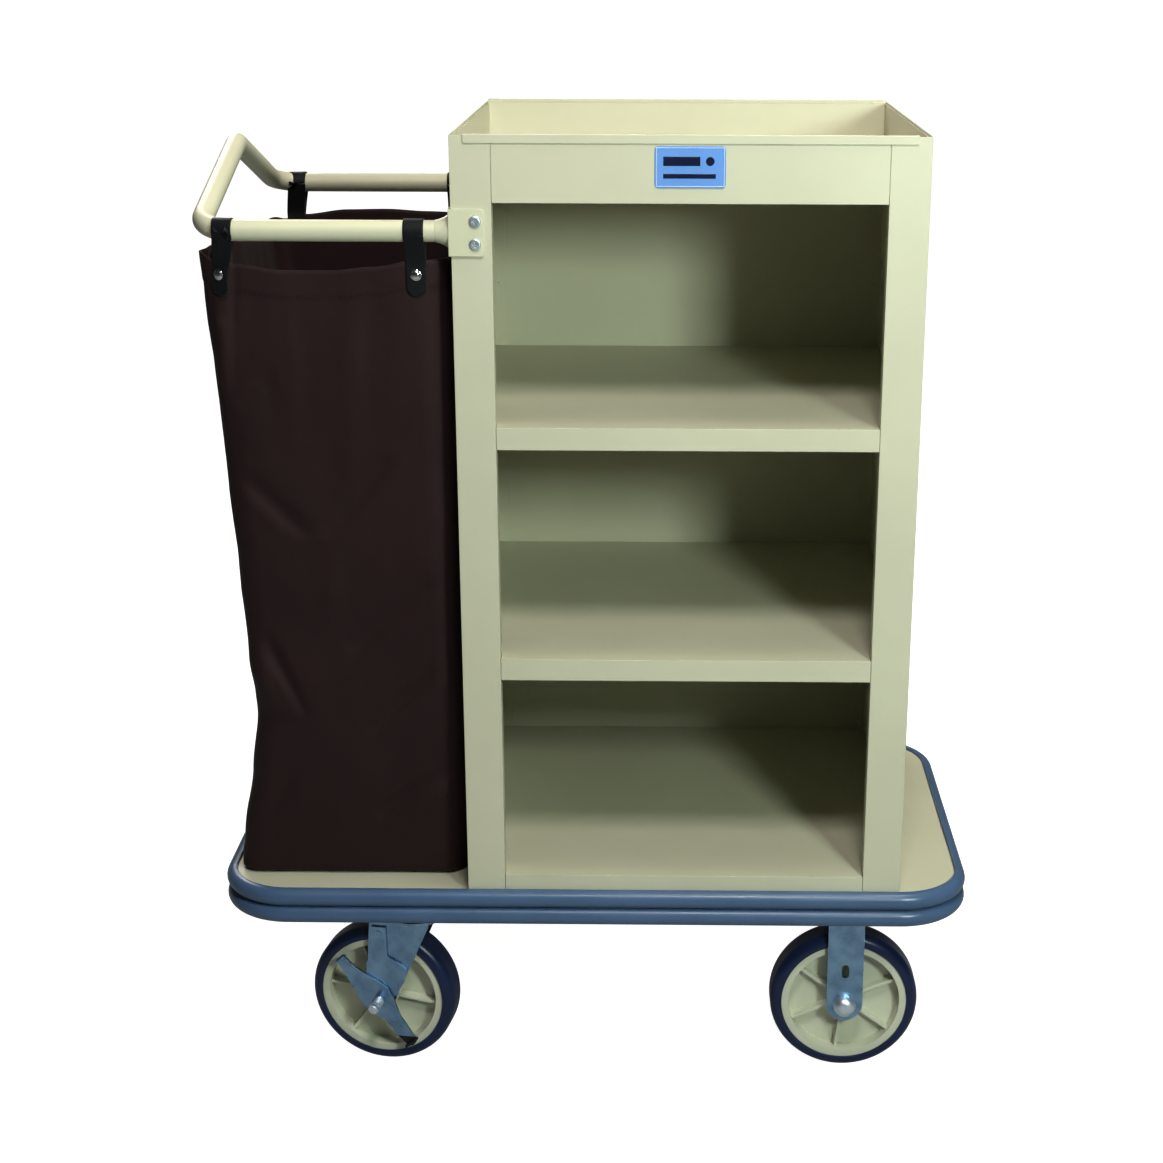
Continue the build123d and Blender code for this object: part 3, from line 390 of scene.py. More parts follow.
# Name, place, aim, size, power and colour of each light.
LIGHTS = [
    ("key", (1.08, -2.07, 1.61), (0.1, 0.0, 0.95), 0.34, 33, (0.86, 1.0, 0.90)),
    ("front_top", (0.25, -1.9, 3.2), (0.1, -0.1, 0.9), 0.55, 46, (1.0, 0.97, 0.95)),
    ("rear", (-1.5, 2.5, 2.6), (0.0, 0.2, 0.8), 1.2, 42, (1.0, 0.96, 0.88)),
    ("top", (0.6, -0.3, 3.4), (0.2, 0.0, 0.9), 1.0, 36, (1.0, 0.94, 0.80)),
]


def place_camera():
    """Camera a little above the cart's middle, looking slightly down at its open front."""
    data = bpy.data.cameras.new("camera")
    data.sensor_width = CAMERA_SENSOR
    data.lens = CAMERA_LENS
    data.shift_x = CAMERA_SHIFT
    camera = bpy.data.objects.new("camera", data)
    camera.location = CAMERA_SPOT
    camera.rotation_euler = [math.radians(turn) for turn in (CAMERA_PITCH, CAMERA_ROLL, CAMERA_YAW)]
    bpy.context.scene.collection.objects.link(camera)
    bpy.context.scene.camera = camera


def place_light(name, spot, aim, size, power, colour):
    """A square area light aimed at a point."""
    data = bpy.data.lights.new(name, "AREA")
    data.size = size
    data.energy = power
    data.color = colour
    made = bpy.data.objects.new(name, data)
    made.location = spot
    made.rotation_euler = (Vector(aim) - Vector(spot)).to_track_quat("-Z", "Y").to_euler()
    bpy.context.scene.collection.objects.link(made)


def seen_white(tree, target, dim, bright):
    """Makes a strength high for the camera's own rays and low for the light it gives."""
    path = tree.nodes.new("ShaderNodeLightPath")
    link(tree, scaled(tree, path.outputs["Is Camera Ray"], dim, bright), target)


def build_stage():
    """White floor and backdrop, a cool key from the front right and warm lights above."""
    reach, start, bend, steps, top = 14.0, 3.2, 1.6, 12, 9.0
    low = [[Vector((x, y, 0)) for x in (-reach, reach)] for y in (-reach, start)]
    high = []
    for step in range(steps + 1):
        turn = math.pi / 2 * step / steps
        y, z = start + bend * math.sin(turn), bend * (1 - math.cos(turn))
        high.append([Vector((x, y, z)) for x in (-reach, reach)])
    high.append([Vector((x, start + bend, top)) for x in (-reach, reach)])
    for name, rows in (("floor", low), ("backdrop", high)):
        made, tree, shader = shell(name + "_white", 0.8, Emission_Color=(1.0, 1.0, 1.0, 1.0))
        grain = use_group(tree, GRAIN, Fine=120.0, Wide=1.2)
        link(tree, mix_colour(tree, grain.outputs["Tone"], (0.40, 0.40, 0.40), (0.44, 0.44, 0.44)),
             shader.inputs["Base Color"])
        seen_white(tree, shader.inputs["Emission Strength"], FLOOR_LIGHT, FLOOR_SEEN)
        mesh = grid_mesh(name, rows)
        mesh.materials.append(made)
        for face in mesh.polygons:
            face.use_smooth = True
        placed = bpy.data.objects.new(name, mesh)
        bpy.context.scene.collection.objects.link(placed)
    world = bpy.data.worlds.new("surroundings")
    world.use_nodes = True
    sky = world.node_tree.nodes["Background"]
    sky.inputs["Color"].default_value = (1.0, 1.0, 1.0, 1.0)
    seen_white(world.node_tree, sky.inputs["Strength"], WORLD_LIGHT, 1.0)
    bpy.context.scene.world = world
    bpy.context.scene.view_settings.view_transform = "Standard"
    bpy.context.scene.view_settings.gamma = VIEW_GAMMA
    for light in LIGHTS:
        place_light(*light)


# ---------------------------------------------------------------- mesh helpers

def add_piece(name, mesh, material, body, slot, smooth=True):
    """Links a mesh as a finished piece that rides on a body."""
    mesh.materials.clear()
    mesh.materials.append(material)
    for face in mesh.polygons:
        face.use_smooth = smooth
    made = bpy.data.objects.new(name, mesh)
    bpy.context.scene.collection.objects.link(made)
    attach(made, body)
    return made


def grid_mesh(name, rows, closed_rows=False, uvs=None):
    """A quad mesh through rows of points; rows may close on themselves."""
    bm = bmesh.new()
    layer = bm.loops.layers.uv.new("UVMap")
    grid = [[bm.verts.new(point) for point in row] for row in rows]
    across = len(rows[0])
    last = across if closed_rows else across - 1
    for i in range(len(rows) - 1):
        for j in range(last):
            k = (j + 1) % across
            face = bm.faces.new((grid[i][j], grid[i][k], grid[i + 1][k], grid[i + 1][j]))
            if uvs:
                for loop, (a, b) in zip(face.loops, ((i, j), (i, j + 1), (i + 1, j + 1), (i + 1, j))):
                    loop[layer].uv = uvs(a, b)
    mesh = bpy.data.meshes.new(name)
    bm.to_mesh(mesh)
    bm.free()
    return mesh



# ---------------------------------------------------------------- laundry bag

CLOTH = 1.2 * MM
BAG_FOOT = DECK_TOP + 0.4 * MM
BAG_ROWS = 156
HEM = 37 * MM
HEM_PROUD = 0.7 * MM
FOOT_RISE, FOOT_ROUND = 7 * MM, 6 * MM
FOLDS_FULL = 0.05
CABINET_CLEAR = 2 * MM
FLOOR_RINGS = (0.96, 0.88, 0.72, 0.5, 0.26, 0.08)
FLOOR_SLACK = 1.2 * MM
SIDE_COLUMNS = (54, 58, 38, 40)
CORNER_COLUMNS = 8

LEFT_EDGE = [(0.288, -0.4905), (0.305, -0.4895), (0.339, -0.484), (0.442, -0.4695), (0.530, -0.4575),
             (0.604, -0.4625), (0.739, -0.469), (0.848, -0.4745), (1.006, -0.481), (1.104, -0.487),
             (1.150, -0.489)]
FRONT_FACE = [(0.288, 0.219), (0.330, 0.222), (0.450, 0.228), (0.600, 0.236), (0.850, 0.246),
              (1.100, 0.2525), (1.150, 0.2535)]
RIGHT_EDGE = [(0.288, -0.1755), (1.150, -0.1755)]
LEFT_CORNER = [(0.288, 0.026), (0.530, 0.034), (0.900, 0.034), (1.150, 0.024)]
RIGHT_CORNER = [(0.288, 0.034), (1.150, 0.040)]
FRONT_RIM = [(-0.489, 1.149), (-0.470, 1.142), (-0.447, 1.1355), (-0.377, 1.1275), (-0.323, 1.127),
             (-0.269, 1.132), (-0.216, 1.140), (-0.1755, 1.141)]
REAR_RIM = [(-0.489, 1.128), (-0.474, 1.124), (-0.443, 1.131), (-0.377, 1.138), (-0.319, 1.139),
            (-0.262, 1.136), (-0.1755, 1.133)]
LEFT_RIM = [(-0.253, 1.149), (-0.19, 1.147), (-0.10, 1.140), (0.0, 1.133), (0.18, 1.128),
            (0.253, 1.128)]
RIGHT_RIM = [(-0.253, 1.141), (0.0, 1.127), (0.253, 1.133)]

# Folds: two ends, height (a valley if negative), half width, lean (a valley beside a ridge).
FOLDS = [
    ((-0.4485, -0.254, 1.140), (-0.4560, -0.252, 1.060), 8.0, 6.0, 1.0),
    ((-0.4560, -0.252, 1.060), (-0.4700, -0.246, 0.900), 4.2, 8.5, 0.8),
    ((-0.4700, -0.246, 0.900), (-0.4820, -0.238, 0.700), 2.6, 12.0, 0.5),
    ((-0.4570, -0.250, 0.952), (-0.4270, -0.250, 0.977), 4.2, 9.0, 0.7),
    ((-0.4350, -0.237, 0.632), (-0.3920, -0.236, 0.533), -5.5, 9.0, -0.9),
    ((-0.4620, -0.232, 0.612), (-0.4060, -0.236, 0.530), 5.0, 17.0, 0.0),
    ((-0.4620, -0.228, 0.527), (-0.4000, -0.234, 0.524), -3.5, 12.0, 0.4),
    ((-0.4066, -0.234, 0.436), (-0.4400, -0.230, 0.385), -2.6, 12.0, 0.5),
    ((-0.2080, -0.228, 0.437), (-0.2880, -0.228, 0.380), -4.6, 9.0, 0.9),
    ((-0.2080, -0.228, 0.415), (-0.2760, -0.228, 0.358), 3.4, 15.0, 0.0),
    ((-0.2150, -0.234, 0.585), (-0.2900, -0.234, 0.510), -3.8, 11.0, 1.0),
    ((-0.2170, -0.240, 0.705), (-0.3120, -0.240, 0.624), -3.6, 12.0, 1.0),
    ((-0.2640, -0.243, 0.872), (-0.3340, -0.243, 0.790), -4.2, 13.0, 0.9),
    ((-0.4470, -0.243, 0.855), (-0.3800, -0.243, 0.788), -3.8, 12.0, -0.9),
    ((-0.3340, -0.243, 0.790), (-0.3500, -0.240, 0.660), 1.8, 16.0, 0.0),
    ((-0.2900, -0.252, 1.100), (-0.3050, -0.250, 0.930), 1.4, 15.0, 0.4),
    ((-0.3900, -0.252, 1.100), (-0.3840, -0.249, 0.960), 1.2, 13.0, -0.4),
    ((-0.4600, -0.190, 0.560), (-0.4600, -0.060, 0.500), -6.0, 15.0, 0.7),
    ((-0.4600, 0.040, 0.500), (-0.4600, 0.190, 0.590), -5.0, 14.0, -0.7),
    ((-0.4750, -0.120, 0.900), (-0.4700, -0.020, 0.700), 2.6, 14.0, 0.6),
    ((-0.4800, 0.150, 1.050), (-0.4700, 0.060, 0.760), 2.4, 15.0, -0.5),
    ((-0.4850, -0.040, 1.120), (-0.4800, -0.060, 0.960), 2.0, 12.0, 0.5),
    ((-0.4700, -0.100, 0.420), (-0.4800, -0.180, 0.330), 2.6, 14.0, 0.5),
    ((-0.4650, 0.100, 0.430), (-0.4850, 0.180, 0.340), -2.8, 14.0, 0.6),
    ((-0.2300, 0.236, 0.620), (-0.3200, 0.234, 0.520), -3.4, 13.0, 0.7),
    ((-0.4300, 0.236, 0.640), (-0.3500, 0.234, 0.540), -3.2, 13.0, -0.7),
    ((-0.2500, 0.245, 0.900), (-0.3300, 0.243, 0.780), 2.4, 14.0, 0.6),
    ((-0.4400, 0.246, 0.960), (-0.4000, 0.244, 0.800), 2.2, 13.0, -0.5),
    ((-0.2150, 0.228, 0.440), (-0.3000, 0.226, 0.370), -3.2, 12.0, 0.8),
    ((-0.3400, 0.252, 1.100), (-0.3500, 0.249, 0.940), 1.6, 14.0, 0.3),
]


def table(values, at):
    """Smoothed reading of a table of (place, value) pairs."""
    if at <= values[0][0]:
        return values[0][1]
    for (low, first), (high, last) in zip(values, values[1:]):
        if at <= high:
            share = (at - low) / (high - low)
            share = share * share * (3 - 2 * share)
            return first + (last - first) * share
    return values[-1][1]


def bag_ring(z):
    """Points and outward directions round the bag at one height, from the front's right end."""
    left, right, face = table(LEFT_EDGE, z), table(RIGHT_EDGE, z), table(FRONT_FACE, z)
    near, far = table(RIGHT_CORNER, z), table(LEFT_CORNER, z)
    corners = [((right, -face), near, (-1, 1)), ((left, -face), far, (1, 1)),
               ((left, face), far, (1, -1)), ((right, face), near, (-1, -1))]
    ring = []
    for index, ((x, y), radius, (sx, sy)) in enumerate(corners):
        centre = (x + sx * radius, y + sy * radius)
        start = -math.pi / 2 * index
        for step in range(CORNER_COLUMNS):
            turn = start - math.pi / 2 * step / (CORNER_COLUMNS - 1)
            out = (math.cos(turn), math.sin(turn))
            ring.append((centre[0] + radius * out[0], centre[1] + radius * out[1], *out))
        (nx, ny), other, (ox, oy) = corners[(index + 1) % 4]
        end = start - math.pi / 2
        out = (math.cos(end), math.sin(end))
        begin = (centre[0] + radius * out[0], centre[1] + radius * out[1])
        finish = (nx + ox * other + other * out[0], ny + oy * other + other * out[1])
        count = SIDE_COLUMNS[index]
        for step in range(1, count):
            share = step / count
            ring.append((begin[0] + (finish[0] - begin[0]) * share,
                         begin[1] + (finish[1] - begin[1]) * share, *out))
    return ring


RINGS = {}
RING_STEP = 0.5 * MM


def outline(z):
    """The bag's ring at a height, worked out once for each half millimetre."""
    key = round(z / RING_STEP)
    if key not in RINGS:
        RINGS[key] = bag_ring(key * RING_STEP)
    return RINGS[key]


def rim_height(x, y, out):
    """Height of the bag's rim over a place, from the side it faces."""
    weights = [(max(0.0, -out[1]) ** 2, FRONT_RIM, x), (max(0.0, out[1]) ** 2, REAR_RIM, x),
               (max(0.0, -out[0]) ** 2, LEFT_RIM, y), (max(0.0, out[0]) ** 2, RIGHT_RIM, y)]
    return sum(weight * table(rim, at) for weight, rim, at in weights)


FOLD_REACH = 3.2
FOLD_ENDS = 0.35


def fold_push(point, out):
    """Outward push of all the folds at a point of the bag's surface."""
    push = 0.0
    for first, last, height, width, lean in FOLDS:
        a, b = Vector(first), Vector(last)
        run = b - a
        share = (point - a).dot(run) / run.length_squared
        held = min(1.0, max(0.0, share))
        gap = point - (a + run * held)
        distance = gap.length / (width * MM)
        if distance > FOLD_REACH:
            continue
        side = gap.dot(out.cross(run).normalized()) / (width * MM)
        taper = FOLD_ENDS + (1 - FOLD_ENDS) * math.sin(math.pi * (0.15 + 0.7 * held))
        square = distance * distance
        shape = math.exp(-square) - lean * side * math.exp(-square * 0.7)
        push += height * MM * taper * shape
    return push


def bag_noise(point):
    """Slow slack and small puckers of hung cloth, drawn out downwards."""
    slow = noise.noise(Vector((point.x * 9, point.y * 9, point.z * 3.4 + 7.0)))
    mid = noise.noise(Vector((point.x * 27 + 3, point.y * 27, point.z * 13)))
    fine = noise.noise(Vector((point.x * 80, point.y * 80 + 5, point.z * 52)))
    return (3.2 * slow + 1.4 * mid + 0.3 * fine) * MM


def bag_rows():
    """Rows of points of the bag's cloth, from its rim down to its foot."""
    rows = []
    count = len(outline(BAG_FOOT))
    for row in range(BAG_ROWS):
        share = row / (BAG_ROWS - 1)
        points = []
        for column in range(count):
            level = BAG_TOP + (BAG_FOOT - BAG_TOP) * share
            x, y, ox, oy = outline(level)[column]
            rim = rim_height(x, y, (ox, oy))
            z = BAG_FOOT + (rim - BAG_FOOT) * (1 - share)
            x, y, ox, oy = outline(z)[column]
            out = Vector((ox, oy, 0.0))
            point = Vector((x, y, z))
            free = min(1.0, (z - BAG_FOOT) / FOLDS_FULL)
            push = (fold_push(point, out) + bag_noise(point)) * (0.25 + 0.75 * free)
            if ox > 0:
                push = min(push, CABINET_CLEAR)
            down = max(0.0, 1 - (z - BAG_FOOT) / FOOT_RISE)
            push -= FOOT_ROUND * (1 - math.sqrt(max(0.0, 1 - down * down)))
            if z > rim - HEM:
                push += HEM_PROUD
            points.append(point + out * push)
        rows.append(points)
    return rows


def make_bag():
    """The laundry bag: one wall of hung cloth with a sewn floor, thickened inwards."""
    rows = bag_rows()
    wall = len(rows)
    foot = rows[-1]
    middle = sum(foot, Vector()) / len(foot)
    for share in FLOOR_RINGS:
        slack = FLOOR_SLACK * (1 - share)
        lift = [noise.noise(Vector((p.x * 14, p.y * 14, share * 3))) * slack for p in foot]
        rows.append([middle + (p - middle) * share + Vector((0, 0, abs(rise)))
                     for p, rise in zip(foot, lift)])
    lengths = [0.0]
    for first, last in zip(rows[0], rows[0][1:] + rows[0][:1]):
        lengths.append(lengths[-1] + (last - first).length)
    drop = (rows[0][0].z - BAG_FOOT) / (wall - 1)
    mesh = grid_mesh("laundry_bag_cloth", rows, closed_rows=True,
                     uvs=lambda i, j: (lengths[j], -drop * i))
    bm = bmesh.new()
    bm.from_mesh(mesh)
    bmesh.ops.holes_fill(bm, edges=[e for e in bm.edges if e.is_boundary
                                    and e.verts[0].co.z < BAG_FOOT + FOLDS_FULL], sides=0)
    bmesh.ops.recalc_face_normals(bm, faces=bm.faces)
    low = min(bm.faces, key=lambda face: face.calc_center_median().x)
    if low.normal.x > 0:
        bmesh.ops.reverse_faces(bm, faces=bm.faces)
    bm.to_mesh(mesh)
    bm.free()
    made = add_piece("laundry_bag_cloth", mesh, bag_canvas, "cart", "bag_canvas")
    solid = made.modifiers.new("thickness", "SOLIDIFY")
    solid.thickness = CLOTH
    solid.offset = -1.0
    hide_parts("laundry_bag")
    return rows[:wall]


# ---------------------------------------------------------------- straps and snaps

WEB = 25.4 * MM
WEB_THICK = 1.5 * MM
WEB_SECTION = [(-1, 0), (-0.97, 0.75), (-0.86, 1), (-0.45, 1), (0, 1), (0.45, 1), (0.86, 1),
               (0.97, 0.75), (1, 0), (0.97, -0.75), (0.86, -1), (0.45, -1), (0, -1), (-0.45, -1),
               (-0.86, -1), (-0.97, -0.75)]
WEB_TIP = 0.0012

STRAP_TIP = 1.0955
SNAP_RISE = 27 * MM
TAIL_RISES = (0.0, 13 * MM, SNAP_RISE)
TAIL_GAP = 0.5 * MM
RAIL_GAP = 0.4 * MM
BAG_GRIP = 2.4 * MM
INNER_RISES = (30 * MM, 16 * MM)
ARC_DEGREES = range(-28, 200, 14)

# Side, loop's and tail's x, and the turn of the loop's and the tail's width in degrees.
STRAPS = {
    "left_front": (-1, -0.4515, -0.4600, -9.0, -26.0),
    "right_front": (-1, -0.2165, -0.2160, 0.0, 1.5),
    "left_rear": (1, -0.4500, -0.4540, 8.0, 12.0),
    "right_rear": (1, -0.2165, -0.2160, 0.0, 0.0),
}


def wall_point(rows, side, x, z):
    """The bag's furthest outward y near a place on its front (-1) or rear (1) face."""
    near = [p.y * side for row in rows for p in row
            if abs(p.x - x) < WEB / 2 + 0.3 * MM and abs(p.z - z) < 7 * MM and p.y * side > RAIL_Y / 2]
    return max(near)


def smooth_path(points, steps=6):
    """A Catmull-Rom line through 3-D points, as a list of points."""
    full = [points[0] * 2 - points[1], *points, points[-1] * 2 - points[-2]]
    line = []
    for a, b, c, d in zip(full, full[1:], full[2:], full[3:]):
        for step in range(steps):
            t = step / steps
            line.append(0.5 * (2 * b + (c - a) * t + (2 * a - 5 * b + 4 * c - d) * t * t
                               + (3 * b - a - 3 * c + d) * t ** 3))
    line.append(points[-1])
    return line


def webbing(name, centres, widths):
    """A flat strap along a line, with its own width direction at each point and rounded ends."""
    count = len(centres)
    runs = [0.0]
    for a, b in zip(centres, centres[1:]):
        runs.append(runs[-1] + (b - a).length)
    half, thick = WEB / 2, WEB_THICK / 2
    around = len(WEB_SECTION)
    rows = []
    for index in range(count):
        along = (centres[min(count - 1, index + 1)] - centres[max(0, index - 1)]).normalized()
        across = (widths[index] - along * widths[index].dot(along)).normalized()
        up = along.cross(across)
        reach = 1.0
        for near in (runs[index], runs[-1] - runs[index]):
            if near < half:
                gap = 1 - near / half
                reach = min(reach, math.sqrt(max(WEB_TIP, 1 - gap * gap)))
        rows.append([centres[index] + across * (half * u * reach) + up * (thick * w)
                     for u, w in WEB_SECTION])

    def uvs(i, j):
        return WEB_SECTION[j % around][0] * half + WEB * (j // around), runs[i]

    mesh = grid_mesh(name, rows, closed_rows=True, uvs=uvs)
    bm = bmesh.new()
    bm.from_mesh(mesh)
    bmesh.ops.holes_fill(bm, edges=[e for e in bm.edges if e.is_boundary], sides=0)
    bmesh.ops.recalc_face_normals(bm, faces=bm.faces)
    bm.to_mesh(mesh)
    bm.free()
    return mesh


def strap_line(rows, side, loop_x, tail_x, loop_turn, tail_turn):
    """Centres and width directions of one strap: outer tail, over the rail, inner tail."""
    gap = WEB_THICK / 2 + TAIL_GAP
    levels = [STRAP_TIP + rise for rise in TAIL_RISES]
    face = max(wall_point(rows, side, tail_x, z) for z in levels) + gap
    outer = [(tail_x, face, z) for z in levels]
    bend = [(tail_x * 0.6 + loop_x * 0.4, face + RAIL_GAP, BAG_TOP + 6 * MM)]
    radius = TUBE_RADIUS + WEB_THICK / 2 + RAIL_GAP
    arc = []
    for turn in map(math.radians, ARC_DEGREES):
        arc.append((loop_x, RAIL_Y + radius * math.cos(turn), RAIL_Z + radius * math.sin(turn)))
    inner_y = face - 2 * gap - BAG_GRIP
    inner = [(tail_x, inner_y, BAG_TOP + 4 * MM)]
    inner += [(tail_x, inner_y, STRAP_TIP + rise) for rise in INNER_RISES]
    places = [Vector((x, side * y, z)) for x, y, z in outer + bend + arc + inner]
    turns = [*[tail_turn] * 3, tail_turn * 0.75, *[loop_turn] * (len(arc) + 1), tail_turn, tail_turn]
    ways = [Vector((math.cos(t), math.sin(t), 0.0)) for t in map(math.radians, turns)]
    return smooth_path(places), smooth_path(ways), face


def make_straps(rows):
    """Four webbing straps that hang the bag from the rails; returns where the snaps sit."""
    snaps = []
    for label, (side, loop_x, tail_x, loop_turn, tail_turn) in STRAPS.items():
        centres, ways, face = strap_line(rows, side, loop_x, tail_x, loop_turn, tail_turn)
        name = f"strap_{label}"
        made = add_piece(name, webbing(name, centres, ways), strap_webbing, "cart", "strap_webbing")
        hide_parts(f"bag_strap_{label}")
        length = sum((b - a).length for a, b in zip(centres, centres[1:]))
        turn = math.radians(tail_turn)
        out = Vector((math.sin(turn), -math.cos(turn), 0.0)) * -side
        spot = Vector((tail_x, side * face, STRAP_TIP + SNAP_RISE)) + out * (WEB_THICK / 2)
        snaps.append((spot, out))
    return snaps


def turned(centre, out, radii_heights, segments=24):
    """Rows of points turned about a line through a centre, from (radius, height) pairs."""
    across = out.orthogonal().normalized()
    other = out.cross(across)
    rows = []
    for radius, height in radii_heights:
        middle = centre + out * height
        rows.append([middle + across * (radius * math.cos(t)) + other * (radius * math.sin(t))
                     for t in (TAU * k / segments for k in range(segments))])
    return rows


def closed_mesh(name, shapes):
    """One mesh out of turned shapes, each closed at both ends, faces outwards."""
    bm = bmesh.new()
    for rows in shapes:
        grid = [[bm.verts.new(point) for point in row] for row in rows]
        count = len(rows[0])
        for i in range(len(rows) - 1):
            for j in range(count):
                k = (j + 1) % count
                bm.faces.new((grid[i][j], grid[i][k], grid[i + 1][k], grid[i + 1][j]))
        bm.faces.new(grid[0][::-1])
        bm.faces.new(grid[-1])
    bmesh.ops.recalc_face_normals(bm, faces=bm.faces)
    mesh = bpy.data.meshes.new(name)
    bm.to_mesh(mesh)
    bm.free()
    return mesh


# Radius and height of the snap's profile, in millimetres.
SNAP_CAP = [(2.2, 0.0), (6.6, 0.0), (7.1, 0.25), (7.1, 0.6), (6.6, 0.9), (5.9, 1.0), (5.6, 1.3),
            (5.0, 2.0), (4.0, 2.6), (2.6, 3.05), (1.2, 3.2), (0.25, 3.2)]


def make_snaps(snaps):
    """Domed snap fasteners with a rolled flange, one on every strap's outer tail."""
    profile = [(radius * MM, height * MM) for radius, height in SNAP_CAP]
    shapes = [turned(spot, out, profile) for spot, out in snaps]
    mesh = closed_mesh("snaps_domed", shapes)
    made = add_piece("snaps_domed", mesh, snap_nickel, "cart", "snap_nickel")
    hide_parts("strap_snaps")


# ---------------------------------------------------------------- stitches

STITCH_LONG = 4.6 * MM
STITCH_GAP = 2.0 * MM
STITCH_RADIUS = 0.42 * MM
STITCH_SPREAD = (0.92, 1.06)
STITCH_SEED = 7
THREAD_PROUD = 0.15 * MM
HEM_ROWS = (HEM - 2 * MM, HEM - 5 * MM)
FOOT_SEAM = 11 * MM
LEAST_DROP = 0.1 * MM
BOX_HALF = 9.6 * MM
BOX_TOP = 8 * MM
BOX_LEVELS = (-15 * MM, -8 * MM, 0.0, BOX_TOP)


def stitch_tool():
    """Geometry nodes: sets a short thread at even steps along a curve, sunk at both ends."""
    tree = bpy.data.node_groups.new("stitch_row", "GeometryNodeTree")
    tree.interface.new_socket(name="Geometry", in_out="INPUT", socket_type="NodeSocketGeometry")
    sizes = (("Stitch Length", STITCH_LONG), ("Gap", STITCH_GAP), ("Radius", STITCH_RADIUS))
    for label, default in sizes:
        made = tree.interface.new_socket(name=label, in_out="INPUT", socket_type="NodeSocketFloat")
        made.default_value = default
    seed = tree.interface.new_socket(name="Seed", in_out="INPUT", socket_type="NodeSocketInt")
    seed.default_value = STITCH_SEED
    thread = tree.interface.new_socket(name="Thread", in_out="INPUT", socket_type="NodeSocketMaterial")
    thread.default_value = thread_black
    tree.interface.new_socket(name="Geometry", in_out="OUTPUT", socket_type="NodeSocketGeometry")
    given, out = tree.nodes.new("NodeGroupInput"), tree.nodes.new("NodeGroupOutput")
    curve = tree.nodes.new("GeometryNodeMeshToCurve")
    step = tree.nodes.new("ShaderNodeMath")
    step.operation = "ADD"
    points = tree.nodes.new("GeometryNodeCurveToPoints")
    points.mode = "LENGTH"
    ball = tree.nodes.new("GeometryNodeMeshUVSphere")
    ball.inputs["Segments"].default_value = 6
    ball.inputs["Rings"].default_value = 5
    ball.inputs["Radius"].default_value = 1.0
    place = tree.nodes.new("GeometryNodeInstanceOnPoints")
    half = tree.nodes.new("ShaderNodeMath")
    half.operation = "MULTIPLY"
    half.inputs[1].default_value = 0.5
    size = tree.nodes.new("ShaderNodeCombineXYZ")
    jitter = tree.nodes.new("FunctionNodeRandomValue")
    jitter.inputs[2].default_value, jitter.inputs[3].default_value = STITCH_SPREAD
    grow = tree.nodes.new("ShaderNodeMath")
    grow.operation = "MULTIPLY"
    real = tree.nodes.new("GeometryNodeRealizeInstances")
    finish = tree.nodes.new("GeometryNodeSetMaterial")
    link(tree, given.outputs["Geometry"], curve.inputs[0])
    link(tree, given.outputs["Stitch Length"], step.inputs[0])
    link(tree, given.outputs["Gap"], step.inputs[1])
    link(tree, curve.outputs[0], points.inputs["Curve"])
    link(tree, step.outputs[0], points.inputs["Length"])
    link(tree, points.outputs["Points"], place.inputs["Points"])
    link(tree, points.outputs["Rotation"], place.inputs["Rotation"])
    link(tree, ball.outputs["Mesh"], place.inputs["Instance"])
    link(tree, given.outputs["Stitch Length"], half.inputs[0])
    link(tree, given.outputs["Seed"], jitter.inputs["Seed"])
    link(tree, half.outputs[0], grow.inputs[0])
    link(tree, jitter.outputs[1], grow.inputs[1])
    link(tree, given.outputs["Radius"], size.inputs[0])
    link(tree, given.outputs["Radius"], size.inputs[1])
    link(tree, grow.outputs[0], size.inputs[2])
    link(tree, size.outputs[0], place.inputs["Scale"])
    link(tree, place.outputs[0], real.inputs[0])
    link(tree, real.outputs[0], finish.inputs["Geometry"])
    link(tree, given.outputs["Thread"], finish.inputs["Material"])
    link(tree, finish.outputs["Geometry"], out.inputs[0])
    return tree


def sew(name, lines):
    """Stitches along several open lines of points, as one plain mesh."""
    data = bpy.data.meshes.new(name + "_lines")
    points, edges = [], []
    for line in lines:
        start = len(points)
        points += [tuple(p) for p in line]
        edges += [(start + k, start + k + 1) for k in range(len(line) - 1)]
    data.from_pydata(points, edges, [])
    carrier = bpy.data.objects.new(name + "_lines", data)
    bpy.context.scene.collection.objects.link(carrier)
    made = carrier.modifiers.new("stitches", "NODES")
    made.node_group = STITCHES
    seen = carrier.evaluated_get(bpy.context.evaluated_depsgraph_get())
    mesh = bpy.data.meshes.new_from_object(seen)
    bpy.data.objects.remove(carrier)
    mesh.name = name
    return mesh


def seam(rows, level_of):
    """A line round the bag's cloth, just proud of it, at a height worked out for each column."""
    columns = len(rows[0])
    line = []
    for j in range(columns + 1):
        column = [row[j % columns] for row in rows]
        level = level_of(column)
        k = next(i for i, p in enumerate(column) if p.z <= level)
        a, b = column[k - 1], column[k]
        share = (a.z - level) / max(LEAST_DROP, a.z - b.z)
        spot = a + (b - a) * share
        _, _, ox, oy = outline(spot.z)[j % columns]
        line.append(spot + Vector((ox, oy, 0)) * THREAD_PROUD)
    return line


def bag_seams(rows):
    """Lines for the hem's two rows and the foot seam."""
    hems = [seam(rows, lambda column, below=below: column[0].z - below) for below in HEM_ROWS]
    return [*hems, seam(rows, lambda column: BAG_FOOT + FOOT_SEAM)]


def strap_seams(snaps):
    """A sewn box around each snap on the outer tails."""
    lines = []
    for spot, out in snaps:
        across = Vector((-out.y, out.x, 0)) * BOX_HALF
        face = spot + out * (0.1 * MM)
        for shift in (-1, 1):
            lines.append([face + across * shift + Vector((0, 0, level)) for level in BOX_LEVELS])
        lines.append([face + across * shift + Vector((0, 0, BOX_TOP)) for shift in (-1, 0, 1)])
    return lines


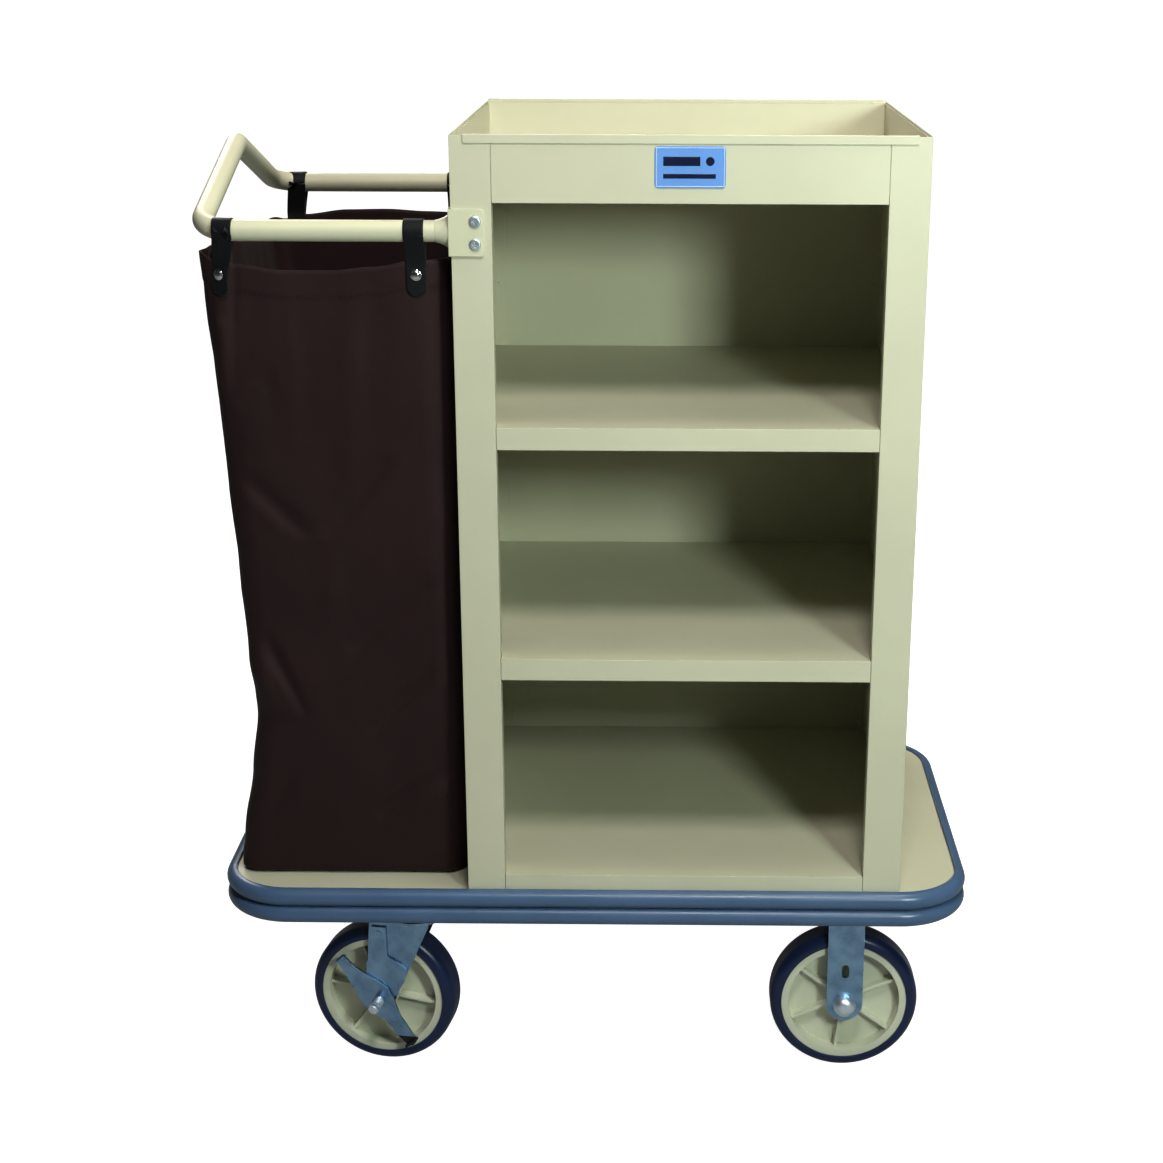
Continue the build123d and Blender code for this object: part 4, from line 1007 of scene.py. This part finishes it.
# ---------------------------------------------------------------- nameplate

def box_shape(low, high, soft):
    """Rows of points for a low box with eased edges, its broad face towards -Y."""
    rows = []
    (x0, z0), (x1, z1) = low[::2], high[::2]
    back, front = high[1], low[1]
    for y, ease in ((back, 0.0), (front + soft, 0.0), (front, soft)):
        a, b, c, d = x0 + ease, x1 - ease, z0 + ease, z1 - ease
        rows.append([Vector((a, y, c)), Vector((b, y, c)), Vector((b, y, d)), Vector((a, y, d))])
    return rows


PLATE_INSET, PLATE_LINE = 1.6 * MM, 0.9 * MM
PLATE_PROUD, PLATE_SUNK, PLATE_EASE = 0.35 * MM, 0.2 * MM, 0.12 * MM

# Each bar's ends, across and up, as shares of the plate from the frame's lower left corner.
PLATE_BARS = [(0.10, 0.62, 0.50, 0.72), (0.10, 0.84, 0.20, 0.31)]
PLATE_DISC = (0.76, 0.61)
DISC_PROFILE = [(5.2 * MM, 0.0), (5.2 * MM, 0.4 * MM), (5.0 * MM, 0.45 * MM)]


def make_nameplate_art():
    """Generic plate art: a pale raised frame, two plain bars and a disc."""
    face = plate_low.y
    wide, tall = plate_high.x - plate_low.x, plate_high.z - plate_low.z
    x0, x1 = plate_low.x + PLATE_INSET, plate_high.x - PLATE_INSET
    z0, z1 = plate_low.z + PLATE_INSET, plate_high.z - PLATE_INSET

    def bar(a, b, c, d):
        return box_shape((a, face - PLATE_PROUD, c), (b, face + PLATE_SUNK, d), PLATE_EASE)

    sides = [bar(x0, x1, z1 - PLATE_LINE, z1), bar(x0, x1, z0, z0 + PLATE_LINE),
             bar(x0, x0 + PLATE_LINE, z0 + PLATE_LINE, z1 - PLATE_LINE),
             bar(x1 - PLATE_LINE, x1, z0 + PLATE_LINE, z1 - PLATE_LINE)]
    add_piece("nameplate_frame", closed_mesh("nameplate_frame", sides), nameplate_pale, "cart",
              "nameplate_blue", smooth=False)
    marks = [bar(x0 + wide * a, x0 + wide * b, z0 + tall * c, z0 + tall * d)
             for a, b, c, d in PLATE_BARS]
    centre = Vector((x0 + wide * PLATE_DISC[0], face + 0.1 * MM, z0 + tall * PLATE_DISC[1]))
    marks.append(turned(centre, Vector((0, -1, 0)), DISC_PROFILE, segments=32))
    add_piece("nameplate_marks", closed_mesh("nameplate_marks", marks), nameplate_navy, "cart",
              "nameplate_blue", smooth=False)


finish_cad_nodes()
place_camera()
build_stage()
STITCHES = stitch_tool()
bag_surface = make_bag()
strap_spots = make_straps(bag_surface)
make_snaps(strap_spots)
for name, lines, slot in (("bag_stitches", bag_seams(bag_surface), "bag_canvas"),
                          ("strap_stitches", strap_seams(strap_spots), "strap_webbing")):
    add_piece(name, sew(name, lines), thread_black, "cart", slot)
make_nameplate_art()
